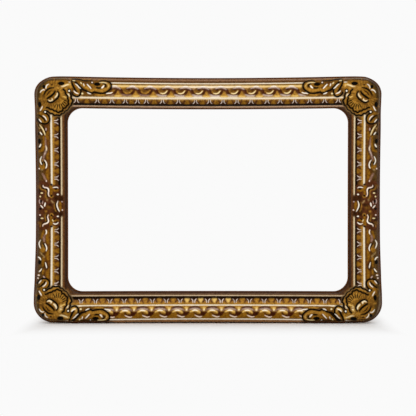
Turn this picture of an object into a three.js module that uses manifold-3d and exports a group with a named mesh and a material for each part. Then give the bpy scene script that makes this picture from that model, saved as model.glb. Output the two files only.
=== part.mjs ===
// An inflatable picture frame for taking photographs through: two films welded together along an outer
// and an inner seam, blown up into a round tube, with a push-in valve on the back.
// Millimetres, +Z up. The front faces -Y, the frame stands on z = 0 and its centre plane is y = 0.
import * as THREE from 'three';
import { mergeVertices } from 'three/addons/utils/BufferGeometryUtils.js';
import Module from 'manifold-3d';

// Outline, measured over the weld rims of the standing frame
const OUTER_WIDTH = 800;
const OUTER_HEIGHT = 568;
const UPPER_CORNER_RADIUS = 44;
const LOWER_CORNER_RADIUS = 54;
const OPENING_WIDTH = 643;
const OPENING_HEIGHT = 420;
const OPENING_SILL = 73.5;
const OPENING_CORNER_RADIUS = 33;

// The tube draws in between its corners, and its own weight presses the lower corners flat
const SIDE_BOW = 4.2;
const TOP_BOW = 4.3;
const BOTTOM_BOW = 3.6;
const OPENING_SIDE_BOW = 0.2;
const OPENING_TOP_BOW = 2.4;
const OPENING_SILL_BOW = 0.6;
const FLOOR_PRESS = 2;

// Tube and film
const TUBE_DEPTH = 68;
const CORNER_DEPTH = 80;
const FILM_THICKNESS = 0.3;
const RIM_WIDTH = 3.5;
const RIM_UNFOLD_HEIGHT = 10;
const CLEARANCE = 0.3;

// Valve
const VALVE_HEIGHT = 180;
const VALVE_TRAVEL = 12;
const RING_DIAMETER = 32;
const RING_BORE = 18;
const RING_THICKNESS = 1;
const FILM_HOLE_DIAMETER = 21;
const STEM_DIAMETER = 10;
const STEM_BORE = 6.6;
const STEM_STAND = 1;
const STEM_LIP_DIAMETER = 11.6;
const STEM_LIP_THICKNESS = 0.8;
const STEM_COLLAR_DIAMETER = 12;
const STEM_COLLAR_THICKNESS = 1;
const WEB_THICKNESS = 0.5;
const FLAP_DIAMETER = 9;
const FLAP_THICKNESS = 0.4;
const FLAP_TAB_WIDTH = 4;
const FLAP_TAB_REACH = 5.6;
const PLUG_LENGTH = 5.5;
const PLUG_TIP_TAPER = 0.5;
const HEAD_DIAMETER = 10.4;
const HEAD_THICKNESS = 1.4;
const HEAD_EDGE = 0.4;
const FINGER_TAB_REACH = 8.4;
const FINGER_TAB_WIDTH = 4.4;
const FINGER_TAB_THICKNESS = 1;
const STRAP_WIDTH = 2.4;
const STRAP_THICKNESS = 0.6;
const STRAP_LOOP_REACH = 9.2;

// Facets
const LONG_SIDE_STEPS = 8;
const SHORT_SIDE_STEPS = 6;
const CORNER_STEPS = 14;
const SECTION_STEPS = 11;
const SECTION_CROWDING = 1.2;
const ROUND_STEPS = 32;
const STRAP_STEPS = 14;
const MERGE_DISTANCE = 1e-4;

// Derived places
const SEAM_INSET = RIM_WIDTH + CLEARANCE;
const UPPER_SEAM_RADIUS = UPPER_CORNER_RADIUS - SEAM_INSET;
const LOWER_SEAM_RADIUS = LOWER_CORNER_RADIUS - SEAM_INSET;
const INNER_SEAM_RADIUS = OPENING_CORNER_RADIUS + SEAM_INSET;
const CORE_HALF_WIDTH = OPENING_WIDTH / 2 - OPENING_CORNER_RADIUS;
const CORE_LOW = OPENING_SILL + OPENING_CORNER_RADIUS;
const CORE_HIGH = OPENING_SILL + OPENING_HEIGHT - OPENING_CORNER_RADIUS;
const SIDE_REACH = OUTER_WIDTH / 2 - SEAM_INSET - CORE_HALF_WIDTH;
const TOP_REACH = OUTER_HEIGHT - SEAM_INSET - CORE_HIGH;
const BOTTOM_REACH = CORE_LOW + FLOOR_PRESS;
const RIM_THICKNESS = 2 * FILM_THICKNESS;

const FRONT = -1;
const REAR = 1;
const BACKWARD = new THREE.Vector3(0, 1, 0);

const wasm = await Module();
wasm.setup();

const frame = new THREE.Group();

// Four runs of the tube, in order round the frame. Each run leaves the core rectangle along its own
// outward direction, and the corner at its end turns to the next run's direction about an arc.
const corner = {
  lowRight: new THREE.Vector3(CORE_HALF_WIDTH, 0, CORE_LOW),
  highRight: new THREE.Vector3(CORE_HALF_WIDTH, 0, CORE_HIGH),
  highLeft: new THREE.Vector3(-CORE_HALF_WIDTH, 0, CORE_HIGH),
  lowLeft: new THREE.Vector3(-CORE_HALF_WIDTH, 0, CORE_LOW),
};
const rightRun = {
  from: corner.lowRight, to: corner.highRight, outward: new THREE.Vector3(1, 0, 0),
  reach: SIDE_REACH, bow: SIDE_BOW, openingBow: OPENING_SIDE_BOW,
  endRadius: UPPER_SEAM_RADIUS, steps: SHORT_SIDE_STEPS,
};
const topRun = {
  from: corner.highRight, to: corner.highLeft, outward: new THREE.Vector3(0, 0, 1),
  reach: TOP_REACH, bow: TOP_BOW, openingBow: OPENING_TOP_BOW,
  endRadius: UPPER_SEAM_RADIUS, steps: LONG_SIDE_STEPS,
};
const leftRun = {
  from: corner.highLeft, to: corner.lowLeft, outward: new THREE.Vector3(-1, 0, 0),
  reach: SIDE_REACH, bow: SIDE_BOW, openingBow: OPENING_SIDE_BOW,
  endRadius: LOWER_SEAM_RADIUS, steps: SHORT_SIDE_STEPS,
};
const bottomRun = {
  from: corner.lowLeft, to: corner.lowRight, outward: new THREE.Vector3(0, 0, -1),
  reach: BOTTOM_REACH, bow: BOTTOM_BOW, openingBow: OPENING_SILL_BOW,
  endRadius: LOWER_SEAM_RADIUS, steps: LONG_SIDE_STEPS,
};
const runs = [rightRun, topRun, leftRun, bottomRun];
const neighbour = (run, step) => runs[(runs.indexOf(run) + step + runs.length) % runs.length];
const halfLength = (run) => run.from.distanceTo(run.to) / 2;

// How far out the outer seam lies, at a distance from the run's middle. It draws in most at the middle,
// and not at all where the arc of the corner with another run begins.
function seamReach(run, distance, other, radius) {
  const arcStart = halfLength(run) + other.reach - radius;
  return run.reach - run.bow * Math.max(0, 1 - (distance / arcStart) ** 2);
}

// A station is one section plane of the tube: where it leaves the core, and how far out both seams lie.
function runStation(run, fraction) {
  const before = neighbour(run, -1);
  const after = neighbour(run, 1);
  const distance = (2 * fraction - 1) * halfLength(run);
  const outer = distance < 0
    ? seamReach(run, distance, before, before.endRadius)
    : seamReach(run, distance, after, run.endRadius);
  return {
    base: run.from.clone().lerp(run.to, fraction),
    outward: run.outward,
    inner: INNER_SEAM_RADIUS - run.openingBow * (1 - (2 * fraction - 1) ** 2),
    outer,
    halfDepth: TUBE_DEPTH / 2,
  };
}

// Distance from the core's corner to the rounded outer seam, at an angle from the first run's direction
function cornerReach(run, next, angle) {
  const along = Math.cos(angle);
  const across = Math.sin(angle);
  const radius = run.endRadius;
  const arcAlong = run.reach - radius;
  const arcAcross = next.reach - radius;
  if (run.reach * across <= arcAcross * along) {
    return seamReach(run, halfLength(run) + run.reach * across / along, next, radius) / along;
  }
  if (next.reach * along <= arcAlong * across) {
    return seamReach(next, halfLength(next) + next.reach * along / across, run, radius) / across;
  }
  const middle = along * arcAlong + across * arcAcross;
  return middle + Math.sqrt(middle ** 2 - arcAlong ** 2 - arcAcross ** 2 + radius ** 2);
}

function cornerStation(run, next, fraction) {
  const angle = fraction * Math.PI / 2;
  const outward = run.outward.clone().multiplyScalar(Math.cos(angle));
  outward.addScaledVector(next.outward, Math.sin(angle));
  const fatness = Math.sin(2 * angle) ** 2;
  return {
    base: run.to,
    outward,
    inner: INNER_SEAM_RADIUS,
    outer: cornerReach(run, next, angle),
    halfDepth: THREE.MathUtils.lerp(TUBE_DEPTH, CORNER_DEPTH, fatness) / 2,
  };
}

function allStations() {
  const list = [];
  runs.forEach((run, order) => {
    const next = runs[(order + 1) % runs.length];
    for (let step = 0; step <= run.steps; step += 1) list.push(runStation(run, step / run.steps));
    for (let step = 1; step < CORNER_STEPS; step += 1) list.push(cornerStation(run, next, step / CORNER_STEPS));
  });
  return list;
}
const stations = allStations();

// A point of the tube's section: angle 0 is the outer seam and pi the inner seam. The floor stops it.
function tubePoint(station, face, angle, inset) {
  const middle = (station.outer + station.inner) / 2;
  const half = (station.outer - station.inner) / 2;
  const point = station.base.clone();
  point.addScaledVector(station.outward, middle + (half - inset) * Math.cos(angle));
  point.addScaledVector(BACKWARD, face * (station.halfDepth - inset) * Math.sin(angle));
  point.z = Math.max(point.z, inset);
  return point;
}

// The outer rim stands out straight, and lies folded back flat where the frame stands on it
function foldAngle(station) {
  const seam = tubePoint(station, REAR, 0, 0);
  return (1 - THREE.MathUtils.smoothstep(seam.z, 0, RIM_UNFOLD_HEIGHT)) * Math.PI / 2;
}

// Angles of the section's points, closer together at the outer seam, with the first just past the folded rim
function sectionAngles(station) {
  const rimAngle = Math.asin((RIM_WIDTH + 2 * CLEARANCE) / station.halfDepth);
  const angles = [0];
  for (let step = 0; step <= SECTION_STEPS; step += 1) {
    angles.push(rimAngle + (Math.PI - rimAngle) * (step / SECTION_STEPS) ** SECTION_CROWDING);
  }
  return angles;
}

// Joins closed sections of equal point counts into a hoop. Columns from half the section on are split along the
// other diagonal, so that the two skins of a thin wall are split alike.
function hoop(sections) {
  const columns = sections[0].length;
  const position = sections.flat().flatMap((point) => point.toArray());
  const index = [];
  sections.forEach((section, row) => {
    const nextRow = (row + 1) % sections.length;
    for (let column = 0; column < columns; column += 1) {
      const nextColumn = (column + 1) % columns;
      const a = row * columns + column;
      const b = row * columns + nextColumn;
      const c = nextRow * columns + nextColumn;
      const d = nextRow * columns + column;
      if (column < columns / 2) index.push(a, b, c, a, c, d);
      else index.push(a, b, d, b, c, d);
    }
  });
  const geometry = new THREE.BufferGeometry();
  geometry.setAttribute('position', new THREE.Float32BufferAttribute(position, 3));
  geometry.setIndex(index);
  geometry.computeVertexNormals();
  return geometry;
}

// A layer of the tube's wall on one face, between two depths below the tube's outer skin
function tubeLayer(face, outerInset, innerInset) {
  return hoop(stations.map((station) => {
    const angles = sectionAngles(station);
    const lift = face === REAR ? (RIM_THICKNESS + CLEARANCE) * Math.sin(foldAngle(station)) : 0;
    const skin = (inset) => angles.map((angle, order) => {
      const point = tubePoint(station, face, angle, inset);
      if (order < 2) point.addScaledVector(station.outward, -lift);
      return point;
    });
    const section = [...skin(outerInset), ...skin(innerInset).reverse()];
    return face === FRONT ? section.reverse() : section;
  }));
}

function outerRim() {
  return hoop(stations.map((station) => {
    const fold = foldAngle(station);
    const width = station.outward.clone().multiplyScalar(Math.cos(fold));
    width.addScaledVector(BACKWARD, Math.sin(fold));
    const normal = BACKWARD.clone().multiplyScalar(Math.cos(fold));
    normal.addScaledVector(station.outward, -Math.sin(fold));
    const root = tubePoint(station, REAR, 0, 0);
    root.addScaledVector(station.outward, -FILM_THICKNESS * Math.sin(fold));
    const place = (reach, side) => root.clone()
      .addScaledVector(width, reach)
      .addScaledVector(normal, side * FILM_THICKNESS);
    return [
      place(CLEARANCE, -1), place(SEAM_INSET, -1), place(SEAM_INSET, 1), place(CLEARANCE, 1),
    ];
  }));
}

function innerRim() {
  return hoop(stations.map((station) => {
    const place = (reach, side) => station.base.clone()
      .addScaledVector(station.outward, station.inner - reach)
      .addScaledVector(BACKWARD, side * FILM_THICKNESS);
    return [
      place(SEAM_INSET, -1), place(CLEARANCE, -1), place(CLEARANCE, 1), place(SEAM_INSET, 1),
    ];
  }));
}

// Solids for cutting and joining
function toSolid(geometry) {
  const bare = geometry.clone();
  bare.deleteAttribute('normal');
  bare.deleteAttribute('uv');
  const merged = mergeVertices(bare, MERGE_DISTANCE);
  return new wasm.Manifold(new wasm.Mesh({
    numProp: 3,
    vertProperties: new Float32Array(merged.getAttribute('position').array),
    triVerts: new Uint32Array(merged.getIndex().array),
  }));
}

function toGeometry(solid) {
  const mesh = solid.getMesh();
  const geometry = new THREE.BufferGeometry();
  geometry.setAttribute('position', new THREE.BufferAttribute(mesh.vertProperties.slice(), 3));
  geometry.setIndex(new THREE.BufferAttribute(mesh.triVerts.slice(), 1));
  geometry.computeVertexNormals();
  return geometry;
}

// Materials
const finish = (color, roughness) => new THREE.MeshStandardMaterial({ color, roughness, metalness: 0 });
const printedFilm = finish(0x8f6a35, 0.35);
const plainFilm = finish(0x9a7434, 0.4);
const weldedFilm = finish(0x4a3018, 0.45);
const valvePlastic = finish(0xe4dfd2, 0.4);

function addPiece(parent, name, geometry, material) {
  const mesh = new THREE.Mesh(geometry, material);
  mesh.name = name;
  parent.add(mesh);
  return mesh;
}

// The valve sits on the back of the right side tube, with its axis along Y at the tube's crest
const valveFraction = (VALVE_HEIGHT - CORE_LOW) / (CORE_HIGH - CORE_LOW);
const valveStation = runStation(rightRun, valveFraction);
const valveCentre = valveStation.base.clone()
  .addScaledVector(valveStation.outward, (valveStation.outer + valveStation.inner) / 2)
  .addScaledVector(BACKWARD, valveStation.halfDepth);

// A round cutter on the valve's axis, long enough to pass the rear film's wall and not the front film's
function valveCutter(diameter) {
  const cutter = new THREE.CylinderGeometry(diameter / 2, diameter / 2, TUBE_DEPTH / 2, ROUND_STEPS);
  cutter.translate(valveCentre.x, valveCentre.y, valveCentre.z);
  return toSolid(cutter);
}

function rearFilm() {
  const film = toSolid(tubeLayer(REAR, 0, FILM_THICKNESS));
  return toGeometry(film.subtract(valveCutter(FILM_HOLE_DIAMETER)));
}

const ringTop = FILM_THICKNESS + CLEARANCE;

function valveBaseRing() {
  const layer = toSolid(tubeLayer(REAR, ringTop, ringTop + RING_THICKNESS));
  const disc = layer.intersect(valveCutter(RING_DIAMETER));
  return toGeometry(disc.subtract(valveCutter(RING_BORE)));
}

addPiece(frame, 'front_film', tubeLayer(FRONT, 0, FILM_THICKNESS), printedFilm);
addPiece(frame, 'rear_film', rearFilm(), plainFilm);
addPiece(frame, 'outer_weld_rim', outerRim(), weldedFilm);
addPiece(frame, 'inner_weld_rim', innerRim(), weldedFilm);
addPiece(frame, 'valve_base_ring', valveBaseRing(), valvePlastic);

// The valve's own pieces are drawn about its axis, with zero at the film's outer skin
const valve = new THREE.Group();
valve.position.copy(valveCentre);
frame.add(valve);

function turned(profile) {
  const points = profile.map(([radius, height]) => new THREE.Vector2(radius, height));
  return new THREE.LatheGeometry(points, ROUND_STEPS);
}

// The web hangs from the ring as a cone, and stands out by as much when it is turned inside out
const ringEdgeSag = valveStation.halfDepth - Math.sqrt(valveStation.halfDepth ** 2 - (RING_BORE / 2) ** 2);
const webEdge = -(ringTop + (RING_THICKNESS + ringEdgeSag) / 2);
const webRoot = webEdge - VALVE_TRAVEL / 2;
const stemFoot = webRoot - STEM_COLLAR_THICKNESS / 2;

function valveWeb() {
  const outer = RING_BORE / 2 - CLEARANCE;
  const inner = STEM_COLLAR_DIAMETER / 2 + CLEARANCE;
  const half = WEB_THICKNESS / 2;
  return turned([
    [inner, webRoot - half], [outer, webEdge - half], [outer, webEdge + half], [inner, webRoot + half],
    [inner, webRoot - half],
  ]);
}

function valveStem() {
  const bore = STEM_BORE / 2;
  const tube = STEM_DIAMETER / 2;
  const lip = STEM_LIP_DIAMETER / 2;
  const collar = STEM_COLLAR_DIAMETER / 2;
  const collarTop = stemFoot + STEM_COLLAR_THICKNESS;
  const lipFoot = STEM_STAND - STEM_LIP_THICKNESS;
  return turned([
    [bore, stemFoot], [collar, stemFoot], [collar, collarTop], [tube, collarTop], [tube, lipFoot],
    [lip, lipFoot], [lip, STEM_STAND], [bore, STEM_STAND], [bore, stemFoot],
  ]);
}

// A disc with a tab at the top, whose upper edge is the hinge
function checkFlap() {
  const radius = FLAP_DIAMETER / 2;
  const tab = FLAP_TAB_WIDTH / 2;
  const start = Math.acos(tab / radius);
  const outline = new THREE.Shape();
  outline.absarc(0, 0, radius, Math.PI - start, 2 * Math.PI + start, false);
  outline.lineTo(tab, FLAP_TAB_REACH);
  outline.lineTo(-tab, FLAP_TAB_REACH);
  outline.closePath();
  const flap = new THREE.ExtrudeGeometry(outline, {
    depth: FLAP_THICKNESS, bevelEnabled: false, curveSegments: ROUND_STEPS,
  });
  flap.rotateX(Math.PI / 2);
  flap.translate(0, stemFoot - CLEARANCE, 0);
  return flap;
}

const headFoot = STEM_STAND + CLEARANCE;
const headTop = headFoot + HEAD_THICKNESS;

function stopper() {
  const plug = STEM_BORE / 2 - CLEARANCE;
  const head = HEAD_DIAMETER / 2;
  const tip = headFoot - PLUG_LENGTH;
  const body = turned([
    [0, tip], [plug - PLUG_TIP_TAPER, tip], [plug, tip + PLUG_TIP_TAPER], [plug, headFoot], [head, headFoot],
    [head, headTop - HEAD_EDGE], [head - HEAD_EDGE, headTop], [0, headTop],
  ]);
  const half = FINGER_TAB_WIDTH / 2;
  const outline = new THREE.Shape();
  outline.moveTo(-half, 0);
  outline.lineTo(-half, half - FINGER_TAB_REACH);
  outline.absarc(0, half - FINGER_TAB_REACH, half, Math.PI, 2 * Math.PI, false);
  outline.lineTo(half, 0);
  outline.closePath();
  const tab = new THREE.ExtrudeGeometry(outline, {
    depth: FINGER_TAB_THICKNESS, bevelEnabled: false, curveSegments: ROUND_STEPS / 4,
  });
  tab.rotateX(Math.PI / 2);
  tab.translate(0, headTop - (HEAD_THICKNESS - FINGER_TAB_THICKNESS) / 2, 0);
  return toGeometry(toSolid(body).add(toSolid(tab)));
}

// The strap loops out from the stem's lip and back to the stopper's head
function stopperStrap() {
  const lipLevel = STEM_STAND - STEM_LIP_THICKNESS / 2;
  const headLevel = (headFoot + headTop) / 2;
  const level = (lipLevel + headLevel) / 2;
  const lipStart = STEM_LIP_DIAMETER / 2 + CLEARANCE;
  const headEnd = HEAD_DIAMETER / 2 + CLEARANCE;
  const bend = (headLevel - lipLevel) / 2;
  const turn = STRAP_LOOP_REACH - STRAP_THICKNESS / 2 - bend;
  const loop = new THREE.CurvePath();
  const at = (radius, height) => new THREE.Vector3(0, height, radius);
  loop.add(new THREE.LineCurve3(at(lipStart, lipLevel), at(turn, lipLevel)));
  loop.add(new THREE.QuadraticBezierCurve3(at(turn, lipLevel), at(turn + bend, lipLevel), at(turn + bend, level)));
  loop.add(new THREE.QuadraticBezierCurve3(at(turn + bend, level), at(turn + bend, headLevel), at(turn, headLevel)));
  loop.add(new THREE.LineCurve3(at(turn, headLevel), at(headEnd, headLevel)));
  const section = new THREE.Shape();
  section.moveTo(-STRAP_THICKNESS / 2, -STRAP_WIDTH / 2);
  section.lineTo(STRAP_THICKNESS / 2, -STRAP_WIDTH / 2);
  section.lineTo(STRAP_THICKNESS / 2, STRAP_WIDTH / 2);
  section.lineTo(-STRAP_THICKNESS / 2, STRAP_WIDTH / 2);
  section.closePath();
  return new THREE.ExtrudeGeometry(section, { steps: STRAP_STEPS, bevelEnabled: false, extrudePath: loop });
}

addPiece(valve, 'valve_web', valveWeb(), valvePlastic);
addPiece(valve, 'valve_stem', valveStem(), valvePlastic);
addPiece(valve, 'check_flap', checkFlap(), valvePlastic);
addPiece(valve, 'stopper', stopper(), valvePlastic);
addPiece(valve, 'stopper_strap', stopperStrap(), valvePlastic);

export default frame;
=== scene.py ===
"""Dress the inflatable photo frame: printed front film, plain rear film, ribbed weld rims and push-in valve.

Lengths are in metres on the frame's own axes: +X along the width, +Y to the back and +Z up.
The print is drawn on squared paper: its places are counted in squares, in from the frame's outer edges.
"""
import logging
import math
from collections.abc import Sequence
from dataclasses import dataclass, field, replace
from enum import Enum, IntEnum
from typing import Self, TypeVar

import bmesh
import bpy
import numpy as np
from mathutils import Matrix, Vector


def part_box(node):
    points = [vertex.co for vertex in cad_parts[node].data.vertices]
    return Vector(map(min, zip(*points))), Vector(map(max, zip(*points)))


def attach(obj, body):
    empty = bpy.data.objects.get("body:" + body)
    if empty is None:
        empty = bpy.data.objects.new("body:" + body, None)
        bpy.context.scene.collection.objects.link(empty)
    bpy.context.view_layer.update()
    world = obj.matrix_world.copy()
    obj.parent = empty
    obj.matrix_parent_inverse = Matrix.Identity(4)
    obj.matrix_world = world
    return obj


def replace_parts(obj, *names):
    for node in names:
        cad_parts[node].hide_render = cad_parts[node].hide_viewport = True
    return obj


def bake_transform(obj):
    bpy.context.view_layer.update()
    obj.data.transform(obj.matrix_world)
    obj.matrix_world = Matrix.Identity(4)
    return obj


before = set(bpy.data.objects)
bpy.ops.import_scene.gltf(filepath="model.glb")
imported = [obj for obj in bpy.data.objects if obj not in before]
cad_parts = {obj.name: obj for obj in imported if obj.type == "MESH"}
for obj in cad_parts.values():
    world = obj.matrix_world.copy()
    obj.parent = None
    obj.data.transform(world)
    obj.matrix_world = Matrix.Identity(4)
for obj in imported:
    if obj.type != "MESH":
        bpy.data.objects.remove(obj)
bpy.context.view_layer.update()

LOG = logging.getLogger("photo_frame")
SEED = 7
SHARP = 50.0
TINY = 1e-9

Array = np.ndarray
Band = tuple[float, int, int, int]
Colour = tuple[float, float, float, float]
Material = bpy.types.Material
Piece = bpy.types.Object
Point = tuple[float, float]
Line = Sequence[Point]
Socket = bpy.types.NodeSocket
Stop = tuple[float, Colour]
Triple = tuple[float, float, float]
Values = dict[str | int, object]


def screen(red: int, green: int, blue: int) -> Colour:
    """Turn a colour in screen values into linear light.

    Args:
        red: red from 0 to 255.
        green: green from 0 to 255.
        blue: blue from 0 to 255.

    Returns:
        The colour as linear red, green, blue and full alpha.
    """
    parts = [value / 255 for value in (red, green, blue)]
    linear = [part / 12.92 if part <= 0.04045 else ((part + 0.055) / 1.055) ** 2.4 for part in parts]
    return (linear[0], linear[1], linear[2], 1.0)


def stops(*places: Band) -> list[Stop]:
    """Turn places with screen colours into the stops of a ramp."""
    return [(place, screen(red, green, blue)) for place, red, green, blue in places]


def smoothstep(low: float, high: float, value: Array) -> Array:
    """Rise smoothly from 0 at low to 1 at high."""
    share = np.clip((value - low) / (high - low), 0.0, 1.0)
    return share * share * (3.0 - 2.0 * share)


def bell(value: Array, middle: float, width: float) -> Array:
    """Rise to 1 at the middle and fall off to both sides."""
    return np.exp(-(((value - middle) / width) ** 2))


def shifted(points: Line, across: float, down: float) -> list[Point]:
    """Slide points by a number of squares each way."""
    return [(first + across, second + down) for first, second in points]


def ray(centre: Point, turn: float, *reaches: float) -> list[Point]:
    """Return the points at some reaches from a centre, all in one direction."""
    return [(centre[0] + reach * math.cos(turn), centre[1] + reach * math.sin(turn)) for reach in reaches]


def add_object(name: str, data: bpy.types.ID) -> Piece:
    """Put an object into the scene.

    Args:
        name: its name.
        data: its mesh, lamp or camera.

    Returns:
        The object.
    """
    made = bpy.data.objects.new(name, data)
    bpy.context.scene.collection.objects.link(made)
    return made


def point_at(thing: Piece, place: Vector, target: Vector) -> None:
    """Put a camera or a lamp at its place and turn it to a target."""
    thing.location = place
    thing.rotation_euler = (target - thing.location).to_track_quat("-Z", "Y").to_euler()


class Facing(Enum):
    """The two halves of the tube, by the sign of their depth."""

    FRONT = -1
    REAR = 1


class Edge(Enum):
    """The two weld seams of the tube."""

    OUTER = "outer"
    INNER = "inner"


class Ink(IntEnum):
    """The sharp inks of the print, from the lowest layer to the highest."""

    UMBER = 0
    OUTLINE = 1
    MAUVE = 2
    STRAW = 3
    PEARL = 4
    GLINT = 5


class Tone(Enum):
    """The soft washes under the sharp inks, in screen values."""

    UMBER = (58, 32, 12)
    MAROON = (70, 30, 10)
    OLIVE = (84, 62, 20)
    RUSSET = (88, 48, 24)
    BRONZE = (116, 78, 26)
    OCHRE = (144, 98, 22)
    GOLD = (150, 104, 30)
    AMBER = (182, 132, 50)
    HONEY = (228, 188, 104)
    CREAM = (252, 234, 192)
    DUSK = (148, 114, 98)
    TAN = (170, 140, 92)
    LILAC = (200, 178, 166)

    def linear(self) -> Array:
        """Return the tone as linear light with full cover."""
        return np.array(screen(*self.value))


class Taper(Enum):
    """Where a pen stroke runs thin."""

    NONE = "none"
    START = "start"
    END = "end"
    BOTH = "both"


@dataclass(frozen=True)
class Stations:
    """Cross sections round the tube, one row for each."""

    base: Array
    out: Array
    inner: Array
    outer: Array
    half_depth: Array
    corner: Array


@dataclass(frozen=True)
class Place:
    """Where points of the front lie on the moulding, one value for each point."""

    share: Array
    fan: Array
    side: Array
    bottom: Array
    corner: Array


@dataclass(frozen=True)
class Run:
    """One side of the tube: its stretch of the core, and how far out its seams lie."""

    start: Point
    end: Point
    out: Point
    reach: float
    bow: float
    opening_bow: float
    radius: float

    def half(self) -> float:
        """Return half of the run's length."""
        return math.dist(self.start, self.end) / 2

    def outer(self, distance: Array, room: Array | float) -> Array:
        """Find how far out the outer seam lies.

        Args:
            distance: distance from the run's middle.
            room: how far past the run's end the corner's arc begins.

        Returns:
            The seam's reach, drawn in most at the middle and not at all at the arc.
        """
        return self.reach - self.bow * np.maximum(1.0 - (distance / (self.half() + room)) ** 2, 0.0)


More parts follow.
